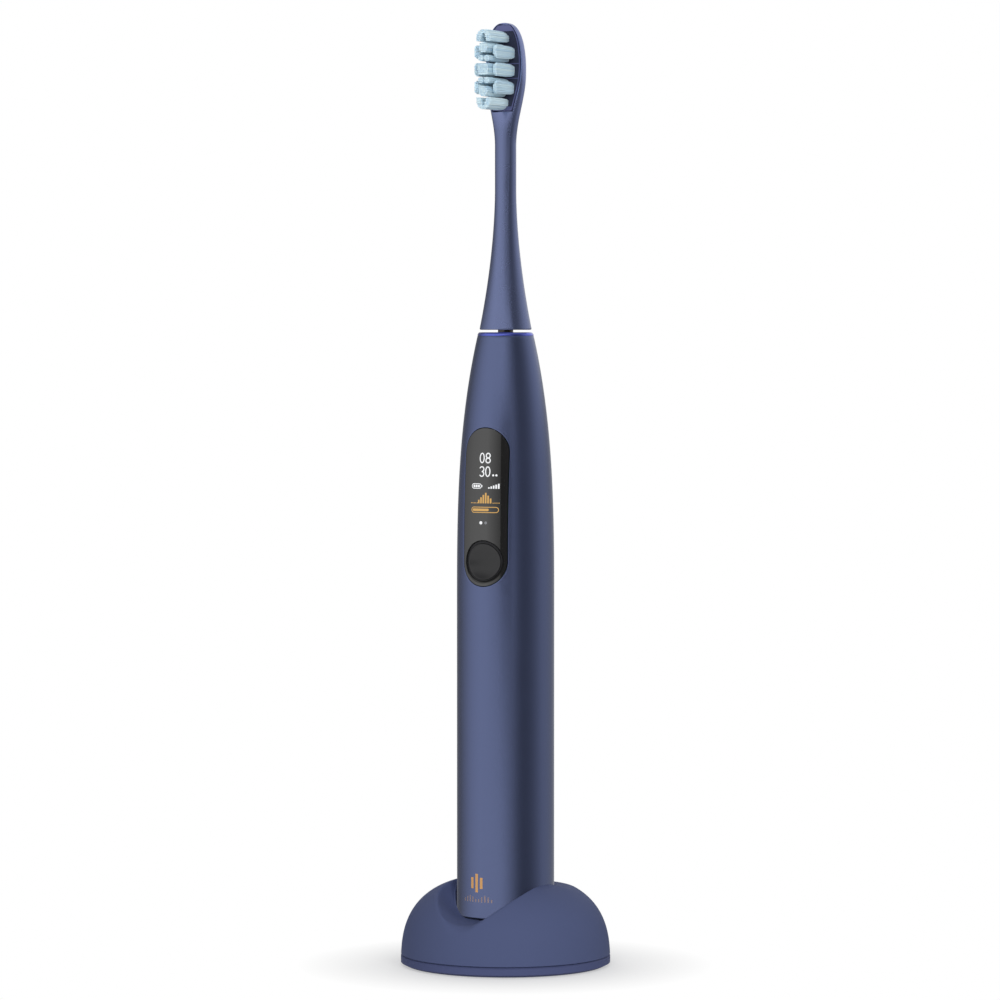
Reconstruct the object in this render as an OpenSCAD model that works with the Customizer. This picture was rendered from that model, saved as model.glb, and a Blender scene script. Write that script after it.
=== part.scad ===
// Electric toothbrush standing in its charging dock.
// Millimetres, +Z up, origin at the centre of the dock's underside, front of the handle towards -Y.

/* [Charging dock] */
// Radius of the dock at its seam
dock_r = 30.2; // [29:0.1:34]
// Height at which the dome would close over the axis
dome_h = 26.4; // [25:0.1:30]
// Fullness of the dome, 2 is an ellipse and more is squarer
dome_power = 2.6; // [2.3:0.1:3]
// Wall of the dock cover
dock_wall = 2; // [1.6:0.1:2.4]
// Height of the socket floor over the table
socket_floor = 14.3; // [14:0.1:16]
// Thickness of the socket floor
floor_t = 1.8; // [1.4:0.1:2.2]
// Gap round the handle in its socket
socket_gap = 0.4; // [0.3:0.05:0.8]
// Wall round the socket
socket_wall = 1.6; // [1.2:0.1:2]
// Half width of the front scoop
scoop_half = 15; // [14.5:0.1:17]
// Squareness of the scoop beside the handle
scoop_square = 3.5; // [2.5:0.1:5]
// Squareness of the scoop where it leaves the dome
scoop_open = 2; // [1.8:0.1:2.5]
// How far the scoop's floor lies below the socket floor
scoop_drop = 0.2; // [0.1:0.1:1]
// Length of the scoop's falling lip
lip_l = 5; // [3:0.1:8]
// How far the lip falls
lip_drop = 4; // [1:0.5:6]

/* [Dock underside] */
// Thickness of the base plate
plate_t = 2.8; // [2.6:0.1:3.2]
// How far the foot pad stands out below the base plate
pad_proud = 0.3; // [0.2:0.1:0.6]
// Thickness of the foot pad
pad_t = 1; // [0.8:0.1:1.2]
// How far the foot pad's edge lies inside the dock's edge
pad_in = 3.4; // [2.2:0.1:4.7]
// Radial size of the bevel under the base plate
bevel_w = 1.4; // [0.6:0.1:2]
// Height of the bevel under the base plate
bevel_h = 0.7; // [0.4:0.1:1.2]
// Depth of the seam between plate and cover
seam_deep = 0.55; // [0.3:0.05:0.9]
// Half height of the seam
seam_half = 0.35; // [0.2:0.05:0.6]
// Height of the plate's locating ring
spigot_h = 1.2; // [0.8:0.1:1.6]
// How far the cover screws stand inside the dock's edge
screw_in = 7.7; // [7.2:0.1:9.2]
// Radius of the cover screws' shanks
screw_r = 1.05; // [0.8:0.05:1.3]
// Height of the steel weight
weight_h = 5; // [3:0.1:6]
// Radial width of the steel weight
weight_w = 10; // [9.1:0.1:10.5]

/* [Charging parts] */
// Outer radius of the charging coil
coil_r = 11; // [9:0.1:11.5]
// Hole radius of both coils
coil_hole_r = 5; // [4:0.1:6]
// Height of the charging coil
coil_h = 3; // [2:0.1:3.2]
// Thickness of the ferrite discs
ferrite_t = 1.4; // [1:0.1:1.6]
// Gap between the dock's circuit board and the weight round it
dock_board_gap = 2; // [1:0.1:4]
// Height of the circuit board's standoffs
standoff_h = 1.5; // [1:0.1:1.8]
// Height of the cable inlet over the table
inlet_z = 8.4; // [8:0.1:9]
// Bore radius of the cable inlet
inlet_r = 1.75; // [1.5:0.05:2.2]

/* [Handle] */
// Radius of the handle's straight part
handle_r = 14; // [13.5:0.1:14.5]
// Length of the handle without the shaft
handle_len = 167.8; // [166.5:0.1:172]
// Length of the taper below the nose
taper_l = 77.3; // [76:0.1:87]
// Radius of the handle's nose
nose_r = 7.76; // [7.4:0.02:8.4]
// Power of the taper's curve
taper_power = 2.9; // [2.5:0.1:3.2]
// Wall of the handle
handle_wall = 2; // [1.7:0.1:2.1]
// Rounding of the handle's bottom edge
bottom_round = 1.5; // [0.8:0.1:1.7]
// Depth of the solid nose that holds the shaft seal
nose_block = 9.3; // [8.5:0.1:10]
// Height of the trim ring on the nose
ring_h = 1; // [0.8:0.1:1.2]
// Height of the end cap
cap_h = 8; // [7.2:0.1:8]
// Section radius of the end cap's O-ring
o_ring_r = 0.45; // [0.4:0.05:0.6]

/* [Window and button] */
// Half width of the window
panel_half = 6.93; // [6.8:0.01:7.2]
// Length of the window
panel_len = 45; // [44:0.1:47]
// Distance from the nose down to the window's lower end
panel_drop = 72.3; // [71.8:0.1:73.3]
// Thickness of the window
panel_t = 1.2; // [1:0.05:1.3]
// Width of the ledge that carries the window
ledge_w = 0.98; // [0.8:0.02:1]
// Radius of the power button
button_r = 5.15; // [5:0.05:5.4]
// Width of the well round the button
well_w = 0.8; // [0.5:0.05:0.9]
// Depth of the well round the button
well_deep = 0.35; // [0.2:0.05:0.6]
// Depth of the dish in the button
dish_deep = 0.65; // [0.4:0.05:1.1]
// How far the button travels
button_travel = 0.4; // [0.2:0.05:0.4]

/* [Inside the handle] */
// Length of the battery cell
battery_l = 50; // [45:1:50]
// Depth of the main board's back below the handle's front
board_deep = 6.6; // [6.5:0.05:6.7]
// Gap between the main board and the battery and motor behind it
core_gap = 0.4; // [0.3:0.05:0.6]
// Thickness of the main board
board_t = 1; // [0.8:0.1:1]
// Width of the main board
board_w = 14; // [13:0.1:14.4]
// Distance from the nose down to the motor's bottom
motor_drop = 64.1; // [63.3:0.1:64.3]
// Length of the motor can
motor_l = 41.8; // [40:0.1:42]
// Radius of the drive shaft
shaft_r = 2.2; // [2:0.05:2.4]
// How far the shaft stands out of the handle
shaft_out = 13.7; // [13:0.1:15]

/* [Brush head] */
// Gap between the handle and the brush head
head_gap = 0.7; // [0.5:0.1:1.2]
// Length of the brush head
head_len = 87.8; // [86:0.1:92]
// Radius of the brush head's collar
collar_r = 7.45; // [7.2:0.05:7.8]
// Radius of the neck at its thinnest
neck_r = 2.95; // [2.8:0.05:3.4]
// Height over the collar where the neck is thinnest
neck_z = 40.2; // [38:0.1:42]
// Half width of the brush head at its widest
head_half = 6.1; // [5.9:0.1:6.6]
// Distance from the tip down to the widest place
tip_l = 15.2; // [14.3:0.1:16.3]
// Distance from the shaft axis to the bristle plate's face
face_y = 1.1; // [0.9:0.05:1.3]
// Depth of the head behind its widest line
back_deep = 2.9; // [2.7:0.05:3.4]
// Distance from the tip down to the middle of the bristles
field_drop = 13.5; // [13:0.1:14]
// Distance from the shaft axis to the tips of the middle tufts
tip_y = 13.9; // [12:0.1:15]
// How much shorter the side tufts are at their outer edge
side_short = 1.4; // [0.8:0.1:2]

/* [Hidden] */

$fn = 64;
touch = 0.05;   // gap between pieces that are glued or pressed together
slip = 0.1;     // gap between pieces that slide into each other
far = 60;       // reach of cuts that go right through

// Dock levels
plate_top = pad_proud + plate_t;
socket_r = handle_r + socket_gap;
floor_under = socket_floor - floor_t;
scoop_floor = socket_floor - scoop_drop;
rim_z = dome_z(socket_r, 0);
scoop_deep = rim_z - scoop_floor;
lip_start = dock_r - lip_l;
scoop_levels = concat([-1, 5], [for (y = [10:2:24]) y], [for (y = [25:1:dock_r + 2]) y]);
spigot_gap = 0.25;
spigot_w = 0.7;
spigot_r = dock_r - dock_wall - spigot_gap;
weight_r = spigot_r - spigot_w - 2 * slip;
weight_hole_r = weight_r - weight_w;
dock_board_r = weight_hole_r - dock_board_gap;
pad_r = dock_r - pad_in;
weight_notch = 10;
screw_ring_r = dock_r - screw_in;
boss_r = 3;
screw_angles = [-90, 30, 150];
screw_reach = 6.5;
screw_head_r = screw_r + 1.35;
screw_head_h = 1.2;
coil_top = floor_under - slip;
ferrite_top = coil_top - coil_h - slip;
ferrite_r = coil_r + 1.2;
coil_well_r = ferrite_r + 2 * slip;
coil_rim_h = slip + coil_h + slip + ferrite_t + 0.4;
coil_rim_w = 1.4;
board_top_z = plate_top + standoff_h + board_t;
inlet_body_r = inlet_r + 1.5;
inlet_flange_r = inlet_r + 2.35;
inlet_flange_t = 1.3;
inlet_seat_y = dome_r(inlet_z, dock_wall) - 0.3;
inlet_end_y = dome_r(inlet_z, 0) + 0.4;

// Handle levels, counted from the handle's bottom
seat_gap = 0.2;
handle_z = socket_floor + seat_gap;
taper_z = handle_len - taper_l;
panel_z = handle_len - panel_drop;
motor_z = handle_len - motor_drop;
board_back = handle_r - board_deep;
battery_r = board_back - core_gap;
motor_r = board_back - core_gap;
bore_r = handle_r - handle_wall;
cap_r = bore_r - touch;
cap_floor = 1.2;
cap_wall = 1.6;
o_ring_z = cap_h - 3;
o_groove_deep = 2 * o_ring_r + 0.04;
rx_coil_z = cap_floor + slip;
rx_coil_r = cap_r - cap_wall - 0.3;
rx_coil_h = 3;
frame_z = cap_h + 0.2;
frame_r = bore_r - 2 * slip;
frame_base_t = 2;
bulkhead_t = 4;
frame_face = board_back - touch;
tab_t = 0.3;
tab_w = 4;
tab_l = 8;
battery_z = frame_z + frame_base_t + tab_t + 2 * touch;
nub_h = 0.8;
nub_r = 2.5;
mid_z = battery_z + battery_l + nub_h + tab_t + 3 * touch;
top_bulkhead_z = motor_z - slip - bulkhead_t;
board_z = battery_z + 6;
board_end = panel_z + panel_len - 3;
board_neck_z = motor_z;
board_neck_w = 11;
board_front = board_back + board_t;
small_screw_r = 0.7;
small_head_r = 1.3;
small_head_h = 0.8;
small_screw_reach = 3.9;
side_screw_x = 5;
button_z = panel_z + panel_half;
switch_h = 0.9;
button_sunk = 0.15;
dish_r = 14;
well_r = button_r + slip + well_w;
flange_r = button_r + 0.4;
flange_t = 0.65;
flange_y = sqrt(pow(handle_r - panel_t, 2) - pow(flange_r, 2)) - 0.16;
stem_r = 1.5;
display_h = 1.6;
display_half = 4.4;
display_z = button_z + button_r + 1.2;
display_l = panel_z + panel_len - 5 - display_z;

// Motor levels
can_wall = 0.6;
can_floor = 1;
can_bore = motor_r - can_wall;
bearing_r = motor_r - 2.5;
bearing_h = 2.7;
running = 0.05;
rear_bearing_z = motor_z + can_floor + touch;
cap_plate_z = motor_z + motor_l + touch;
cap_plate_t = 2.6;
front_bearing_z = cap_plate_z + 0.15;
bobbin_z = rear_bearing_z + bearing_h + 1.5;
bobbin_l = cap_plate_z - 1.5 - bobbin_z;
bobbin_flange = 1;
bobbin_hole_r = shaft_r + 1.6;
bobbin_tube_r = bobbin_hole_r + 0.4;
magnet_r = shaft_r + 1.3;
magnet_in = 2.5;
nose_bottom = handle_len - ring_h - nose_block;
seal_flange_t = 1.9;
seal_flange_z = nose_bottom - slip - seal_flange_t;
mount_z = cap_plate_z + cap_plate_t + 0.3;
mount_t = 2;
damper_z = mount_z + mount_t + touch;
damper_h = seal_flange_z - slip - damper_z;
clip_z = damper_z + 2.2;
clip_t = 0.8;
groove_r = shaft_r - 0.4;
seal_r = 4.5;
seal_bore_r = shaft_r + 0.08;
shaft_z = rear_bearing_z + 0.3;
shaft_end = handle_len + shaft_out;

// Brush head levels, counted from its collar
head_z = handle_z + handle_len + head_gap;
shaft_in = shaft_out - head_gap;
insert_z = 0.4;
insert_r = 3.9;
insert_l = shaft_in + 1.5;
insert_flange_r = insert_r + 1.7;
insert_flange_t = 2;
insert_bore_r = shaft_r + 0.07;
flat_y = shaft_r - 0.5;
flat_z = 4.2;
grip_z = 1.8;
grip_h = 1;
head_mid = head_len - tip_l;
field_z = head_len - field_drop;
spread_z = head_mid - 19.9;
neck_low = 12;
neck_end = spread_z - 1.9;
blend_z = head_mid - 15;
blend_end = head_mid + 4.9;
crease = 50;
tip_round = 2.58;
mid_y = 0.46;
plate_in = 0.6;
groove_w = 0.25;
plate_back = 0.9;
plate_from = head_mid - 10.6;
hole_bottom = 0.6;
anchor_t = 0.3;
tuft_root = hole_bottom - anchor_t - touch;
rows_z = 4.95;
side_in = 1.9;
side_out = 3.6;
side_half_h = 2.1;
side_slant = 1.2;
spot_z = 3.15;
spot_x = 0.95;
round_z = 6.2;
round_tuft_r = 1.45;
square_half = 1.62;
end_z = 7.95;
end_half = 2.3;
end_h = 3.35;
notch_half = 1;
notch_deep = 2.2;

// Outline of the dock's dome, inset evenly for the inner wall
function dome_r(z, inset) =
  (dock_r - inset) * pow(1 - pow(z / (dome_h - inset), dome_power), 1 / dome_power);
function dome_z(r, inset) =
  (dome_h - inset) * pow(1 - pow(r / (dock_r - inset), dome_power), 1 / dome_power);
function dome_arc(inset, z0) = [
  for (t = [4:4:88])
    let (
      z = (dome_h - inset) * pow(sin(t), 2 / dome_power),
      r = (dock_r - inset) * pow(cos(t), 2 / dome_power)
    )
    if (z > z0 + 0.8) [r, z]
];

// Height of the scoop's surface at x from the middle and y in front of the axis
function scoop_power(y) = mix(scoop_square, scoop_open, ease((y - 10) / 12));
function scoop_level(y) = scoop_floor - lip_drop * pow(max(0, y - lip_start) / lip_l, 2);
function scoop_z(x, y) = scoop_level(y) + scoop_deep * pow(abs(x) / scoop_half, scoop_power(y));

// Radius of the handle's outside at a height over its bottom
function handle_rad(z) =
  z <= taper_z ? handle_r
  : handle_r - (handle_r - nose_r) * pow((z - taper_z) / (handle_len - taper_z), taper_power);

// Smooth step from 0 to 1, and a blend between two values
function ease(t) = let (c = min(1, max(0, t))) c * c * (3 - 2 * c);
function mix(a, b, t) = a + (b - a) * t;

// Half width, front edge, widest line and depth of the brush head at a height over its collar
function neck_rad(z) = neck_r + (collar_r - neck_r) * pow(max(0, (neck_z - z) / neck_z), 1.8);
function head_blend(z) = ease((z - blend_z) / (blend_end - blend_z));
function tip_scale(z) =
  z <= head_mid ? 1
  : pow(max(0, 1 - pow((z - head_mid) / (head_len - head_mid), tip_round)), 1 / tip_round);
function half_width(z) =
  mix(neck_rad(z), head_half, ease((z - spread_z) / (head_mid - spread_z))) * tip_scale(z);
function edge_y(z) = mix(-neck_rad(z) * cos(crease), -face_y, head_blend(z));
function wide_y(z) = mix(0, mid_y, head_blend(z));
function edge_x(z) = half_width(z) * pow(sin(crease), mix(1, 0.12, head_blend(z)));
function back_depth(z) = mix(neck_rad(z), back_deep, head_blend(z)) * pow(tip_scale(z), 2.5);

// Right half of the head's section, from the front edge round to the back
function head_side(z) = let (
  w = half_width(z),
  e = edge_y(z),
  m = wide_y(z),
  d = back_depth(z),
  k = mix(1, 0.12, head_blend(z)),
  b = mix(1, 0.8, head_blend(z))
) concat(
  [for (a = [crease:10:90]) [w * pow(sin(a), k), m - (m - e) * cos(a) / cos(crease)]],
  [for (a = [101.25:11.25:169]) [w * pow(sin(a), b), m + d * pow(-cos(a), b)]],
  [[0, m + d]]
);
function head_section(z) = let (
  right = head_side(z),
  x = edge_x(z),
  sag = mix(0.2 * neck_rad(z), 0.02, head_blend(z))
) concat(
  [for (u = [-0.6:0.3:0.6]) [x * u, edge_y(z) - sag * (1 - u * u)]],
  right,
  [for (i = [len(right) - 2:-1:0]) [-right[i][0], right[i][1]]]
);
head_levels = concat(
  [0, 1.2, 2.8, 4.6, 6.8, 9.2],
  [for (i = [0:11]) mix(neck_low, neck_end, i / 12)],
  [for (i = [0:11]) mix(neck_end, head_mid, i / 12)],
  [for (a = [0:7.5:82.5]) head_mid + (head_len - head_mid) * sin(a)],
  [head_len - 0.03]
);

// Outline of the bristle plate seen from the front, pulled in by inset
function plate_outline(inset) = let (
  levels = concat(
    [for (i = [0:9]) mix(plate_from + inset, head_mid, i / 10)],
    [for (a = [0:8:80]) head_mid + (head_len - head_mid - inset) * sin(a)]
  ),
  half = [for (z = levels) [max(0.6, edge_x(z) - inset), z]]
) concat(half, [for (i = [len(half) - 1:-1:0]) [-half[i][0], half[i][1]]]);

// ---- shared shapes ----

module dome(inset, z0)
  rotate_extrude($fn = 96)
    polygon(concat(
      [[0, z0], [dome_r(z0, inset), z0]],
      dome_arc(inset, z0),
      [[0, dome_h - inset]]
    ));

// A solid joined up from rings of points, each ring with as many points as the next
module skin(rings)
  let (n = len(rings[0]), m = len(rings))
  polyhedron(
    points = [for (r = rings) each r],
    faces = concat(
      [[for (j = [0:n - 1]) j], [for (j = [n - 1:-1:0]) (m - 1) * n + j]],
      [for (i = [0:m - 2], j = [0:n - 1], u = [0, 1])
        let (a = i * n + j, b = i * n + (j + 1) % n)
        u == 0 ? [a, a + n, b + n] : [a, b + n, b]]
    )
  );

// Everything above the scoop's surface, in front of the axis
module scoop_body(drop)
  skin([
    for (y = scoop_levels)
      concat(
        [[scoop_half, -y, far], [-scoop_half, -y, far]],
        [for (i = [-12:12]) let (x = scoop_half * i / 12) [x, -y, scoop_z(x, y) - drop]]
      )
  ]);

module at_screws()
  for (a = screw_angles)
    rotate([0, 0, a]) translate([screw_ring_r, 0, 0]) children();

module ring(outer, inner, h)
  difference() {
    cylinder(r = outer, h = h);
    translate([0, 0, -1]) cylinder(r = inner, h = h + 2);
  }

module on_handle() translate([0, 0, handle_z]) children();
module on_head() translate([0, 0, head_z]) children();

// A solid of revolution inside the handle's outline
module handle_body(inset, z0, z1)
  rotate_extrude($fn = 96)
    polygon(concat(
      [[0, z0], [handle_rad(z0) - inset, z0]],
      [for (z = concat([taper_z], [for (i = [1:20]) mix(taper_z, handle_len, i / 20)]))
        if (z > z0 + 0.5 && z < z1 - 0.5) [handle_rad(z) - inset, z]],
      [[handle_rad(z1) - inset, z1], [0, z1]]
    ));

// A bar with round ends that runs inwards from the front of the handle
module stadium(half, y_in)
  translate([0, -y_in, 0])
    rotate([90, 0, 0])
      linear_extrude(far) {
        translate([-half, panel_z + panel_half])
          square([2 * half, panel_len - 2 * panel_half]);
        translate([0, panel_z + panel_half]) circle(r = half);
        translate([0, panel_z + panel_len - panel_half]) circle(r = half);
      }

// A round bar along Y, from y0 to y1 in front of the axis
module front_bar(r, x, z, y0, y1)
  translate([x, -y0, z])
    rotate([90, 0, 0])
      cylinder(r = r, h = y1 - y0);

// A square bar standing out from a board's front face
module chip(x, z, w, l, h)
  translate([x - w / 2, -board_front - h, z - l / 2])
    cube([w, h, l]);

module head_body()
  skin([for (z = head_levels) [for (p = head_section(z)) [p[0], p[1], z]]]);

// A prism along Y through the bristle plate, with its outline seen from the front
module front_prism(y_back, y_front)
  translate([0, y_back, 0])
    rotate([90, 0, 0])
      linear_extrude(y_back + y_front)
        children();

module rows() for (s = [-1, 0, 1]) translate([0, field_z + s * rows_z, 0]) children();

// Outlines of the tufts seen from the front
module side_outline(grow)
  for (s = [-1, 1])
    translate([s * (side_in + side_out) / 2, 0])
      square([side_out - side_in + 2 * grow, 2 * side_half_h + 2 * grow], center = true);
module square_outline(grow)
  translate([0, field_z]) square(2 * (square_half + grow), center = true);
module spot_outline(grow)
  for (s = [-1, 1], u = [-1, 1])
    translate([s * spot_x, field_z + u * spot_z]) circle(r = 0.8 + grow, $fn = 24);
module round_outline(grow)
  for (u = [-1, 1]) translate([0, field_z + u * round_z]) circle(r = round_tuft_r + grow, $fn = 32);
module end_outline(grow)
  for (u = [0, 1])
    translate([0, field_z]) mirror([0, u]) translate([0, end_z])
      difference() {
        polygon([
          [-end_half - grow, -grow], [end_half + grow, -grow], [end_half + grow, end_h / 2],
          [0.65 * end_half, 0.84 * end_h + grow], [0.26 * end_half, end_h + grow],
          [-0.26 * end_half, end_h + grow], [-0.65 * end_half, 0.84 * end_h + grow],
          [-end_half - grow, end_h / 2]
        ]);
        polygon([
          [grow - notch_half, -1], [notch_half - grow, -1], [notch_half - grow, -grow],
          [0.3 * notch_half, notch_deep - grow], [-0.3 * notch_half, notch_deep - grow],
          [grow - notch_half, -grow]
        ]);
      }

// ---- charging dock ----

module dock_cover()
  color([0.29, 0.32, 0.48])
    difference() {
      union() {
        difference() {
          dome(0, plate_top);
          dome(dock_wall, plate_top - 1);
        }
        intersection() {
          dome(0, plate_top);
          union() {
            translate([0, 0, floor_under]) cylinder(r = socket_r + socket_wall, h = far);
            scoop_body(dock_wall);
            at_screws() translate([0, 0, plate_top]) cylinder(r = boss_r, h = far);
          }
        }
        translate([0, 0, floor_under - coil_rim_h])
          ring(coil_well_r + coil_rim_w, coil_well_r, coil_rim_h + 1);
      }
      translate([0, 0, socket_floor]) cylinder(r = socket_r, h = far);
      translate([0, 0, plate_top - 1]) cylinder(r = coil_well_r, h = floor_under - plate_top + 1);
      translate([0, 0, rim_z - 0.9]) cylinder(r1 = socket_r, r2 = socket_r + 2, h = 2);
      scoop_body(0);
      at_screws() cylinder(r = screw_r + touch, h = plate_top + screw_reach + 1);
      seam_cut();
      translate([0, 0, inlet_z]) rotate([-90, 0, 0]) cylinder(r = inlet_body_r + touch, h = far);
      translate([0, inlet_seat_y - 6, inlet_z])
        rotate([-90, 0, 0]) cylinder(r = inlet_flange_r + slip, h = 6);
    }

// The bevel that makes the upper half of the seam
module seam_cut()
  translate([0, 0, plate_top])
    difference() {
      translate([0, 0, -1]) cylinder(r = dock_r + 1, h = seam_half + 1);
      translate([0, 0, -1]) cylinder(r = dock_r - seam_deep, h = 1.01);
      cylinder(r1 = dock_r - seam_deep, r2 = dome_r(plate_top + seam_half, 0), h = seam_half + 0.001);
    }

module base_plate()
  color([0.27, 0.3, 0.45])
    difference() {
      union() {
        rotate_extrude($fn = 96)
          polygon([
            [0, pad_proud], [dock_r - bevel_w, pad_proud], [dock_r, pad_proud + bevel_h],
            [dock_r, plate_top - seam_half], [dock_r - seam_deep, plate_top], [0, plate_top]
          ]);
        translate([0, 0, plate_top - 0.5]) ring(spigot_r, spigot_r - spigot_w, spigot_h + 0.5);
        for (a = [0, 120, 240])
          rotate([0, 0, a + 60]) translate([dock_board_r - 3, 0, plate_top - 0.5])
            cylinder(r = 1.8, h = standoff_h + 0.5);
      }
      translate([0, 0, pad_proud - 1]) cylinder(r = pad_r + slip, h = pad_t - pad_proud + 1);
      at_screws() {
        cylinder(r = screw_r + 0.25, h = far);
        translate([0, 0, pad_t - 0.5]) cylinder(r = screw_head_r + 0.3, h = screw_head_h + 0.65);
      }
    }

module foot_pad()
  color([0.16, 0.17, 0.22])
    rotate_extrude($fn = 96)
      polygon([[0, 0], [pad_r - 0.3, 0], [pad_r, 0.3], [pad_r, pad_t], [0, pad_t]]);

module dock_weight()
  color([0.6, 0.6, 0.62])
    translate([0, 0, plate_top])
      difference() {
        ring(weight_r, weight_hole_r, weight_h);
        at_screws() translate([0, 0, -1]) cylinder(r = boss_r + 0.3, h = far);
        translate([-weight_notch / 2, 0, -1]) cube([weight_notch, far, far]);
      }

module cover_screws()
  color([0.75, 0.75, 0.77])
    at_screws() translate([0, 0, pad_t + touch]) {
      difference() {
        cylinder(r = screw_head_r, h = screw_head_h);
        for (a = [0, 90]) rotate([0, 0, a]) translate([-1.4, -0.3, -1]) cube([2.8, 0.6, 1.6]);
      }
      cylinder(r = screw_r, h = plate_top - pad_t + screw_reach);
    }

module coil(outer, h)
  difference() {
    ring(outer, coil_hole_r, h);
    for (z = [h / 4, h / 2, 3 * h / 4])
      translate([0, 0, z - 0.08]) ring(outer + 1, outer - 0.15, 0.16);
  }

module charge_coil()
  color([0.72, 0.42, 0.2])
    translate([0, 0, coil_top - coil_h]) coil(coil_r, coil_h);

module charge_ferrite()
  color([0.2, 0.2, 0.21])
    translate([0, 0, ferrite_top - ferrite_t]) {
      cylinder(r = ferrite_r, h = ferrite_t);
      cylinder(r = coil_hole_r - 0.4, h = ferrite_t + coil_h);
    }

module dock_board()
  color([0.08, 0.35, 0.18])
    translate([0, 0, plate_top + standoff_h])
      difference() {
        cylinder(r = dock_board_r, h = board_t);
        translate([0, 0, -1]) cylinder(r = 1.6, h = board_t + 2);
      }

module dock_board_parts()
  color([0.12, 0.12, 0.13])
    translate([0, 0, board_top_z]) {
      translate([3.5, -3, 0]) cube([6, 6, 1]);
      translate([-9.5, -2.5, 0]) cube([5, 5, 1.2]);
      translate([-3, 8, 0]) cube([6, 4, 1.6]);
      for (x = [-4, 0, 4]) translate([x, -9, 0]) cylinder(r = 1.2, h = 1.5, $fn = 32);
    }

module cable_grommet()
  color([0.2, 0.22, 0.32])
    translate([0, inlet_seat_y - inlet_flange_t, inlet_z])
      rotate([-90, 0, 0])
        difference() {
          union() {
            cylinder(r = inlet_flange_r, h = inlet_flange_t);
            cylinder(r = inlet_body_r, h = inlet_end_y - inlet_seat_y + inlet_flange_t);
          }
          translate([0, 0, -1]) cylinder(r = inlet_r, h = far);
        }

// ---- handle ----

module handle_outer()
  rotate_extrude($fn = 96)
    polygon(concat(
      [[0, 0], [handle_r - bottom_round, 0]],
      [for (a = [18:18:90]) [
        handle_r - bottom_round * (1 - sin(a)), bottom_round * (1 - cos(a))]],
      [for (i = [0:20]) let (z = mix(taper_z, handle_len, i / 20))
        if (z < handle_len - ring_h - 0.5) [handle_rad(z), z]],
      [[handle_rad(handle_len - ring_h), handle_len - ring_h], [0, handle_len - ring_h]]
    ));

module handle_shell()
  color([0.33, 0.37, 0.55])
    on_handle()
      difference() {
        handle_outer();
        handle_body(handle_wall, -0.001, nose_bottom);
        cylinder(r = seal_r + slip, h = far * 4);
        difference() {
          stadium(panel_half + slip, 0);
          handle_body(panel_t, 0, handle_len);
        }
        stadium(panel_half - ledge_w, 0);
      }

module nose_ring()
  color([0.35, 0.4, 0.75])
    on_handle()
      rotate_extrude($fn = 96)
        polygon([
          [seal_r + slip, handle_len - ring_h], [handle_rad(handle_len - ring_h), handle_len - ring_h],
          [handle_rad(handle_len - 0.5), handle_len - 0.5], [nose_r - 0.45, handle_len],
          [seal_r + slip, handle_len]
        ]);

module end_cap()
  color([0.3, 0.34, 0.5])
    on_handle()
      difference() {
        cylinder(r = cap_r, h = cap_h);
        translate([0, 0, cap_floor]) cylinder(r = cap_r - cap_wall, h = far);
        translate([0, 0, o_ring_z - o_ring_r - touch])
          ring(cap_r + 1, cap_r - o_groove_deep, 2 * o_ring_r + 2 * touch);
      }

module end_cap_seal()
  color([0.1, 0.1, 0.11])
    on_handle()
      translate([0, 0, o_ring_z])
        rotate_extrude($fn = 96)
          translate([cap_r - o_ring_r, 0]) circle(r = o_ring_r, $fn = 24);

module receiver_coil()
  color([0.72, 0.42, 0.2])
    on_handle() translate([0, 0, rx_coil_z]) coil(rx_coil_r, rx_coil_h);

module receiver_ferrite()
  color([0.2, 0.2, 0.21])
    on_handle()
      translate([0, 0, rx_coil_z + rx_coil_h + touch]) {
        cylinder(r = rx_coil_r, h = ferrite_t);
        translate([0, 0, -rx_coil_h]) cylinder(r = coil_hole_r - 0.4, h = rx_coil_h + 0.5);
      }

module inner_frame()
  color([0.5, 0.5, 0.52])
    on_handle()
      difference() {
        union() {
          translate([0, 0, frame_z]) cylinder(r = frame_r, h = frame_base_t);
          translate([0, 0, mid_z]) cylinder(r = frame_r, h = bulkhead_t);
          translate([0, 0, top_bulkhead_z]) cylinder(r = frame_r, h = bulkhead_t);
          translate([0, 0, frame_z])
            ring(battery_r + 0.3 + 1.2, battery_r + 0.3, mid_z - frame_z + 1);
          for (z = [battery_z + 8, battery_z + 24, battery_z + 40])
            translate([0, 0, z]) ring(frame_r, battery_r + 0.3, 2);
          for (s = [-1, 1])
            translate([s * (board_w / 2 - 1.3) - 1, -frame_face, mid_z + 1])
              cube([2, 3, top_bulkhead_z - mid_z]);
          translate([0, 0, mid_z + 1]) back_rib();
        }
        translate([-far / 2, -far - frame_face, 0]) cube([far, far, far * 4]);
        translate([-far / 2, -far - 2, frame_z + frame_base_t])
          cube([far, far, battery_z + 8 - frame_z - frame_base_t]);
        for (z = [battery_z + 10, battery_z + 26])
          translate([-far / 2, -far - 2, z]) cube([far, far, 14]);
        translate([-far / 2, -far - 2, battery_z + 42]) cube([far, far, mid_z - battery_z - 42]);
        for (p = screw_places())
          front_bar(small_screw_r + touch, p[0], p[1], board_front - small_screw_reach - 0.3, far);
        translate([0, frame_r - 2.5, frame_z - 1]) cylinder(r = 1.2, h = far * 2);
      }

// The rib that joins the two bulkheads behind the board
module back_rib()
  intersection() {
    ring(frame_r, frame_r - 1.2, top_bulkhead_z - mid_z);
    translate([-far / 2, 2, 0]) cube([far, far, far]);
  }

function screw_places() = [
  [0, mid_z + bulkhead_t / 2],
  [-side_screw_x, top_bulkhead_z + bulkhead_t / 2],
  [side_screw_x, top_bulkhead_z + bulkhead_t / 2]
];

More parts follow.
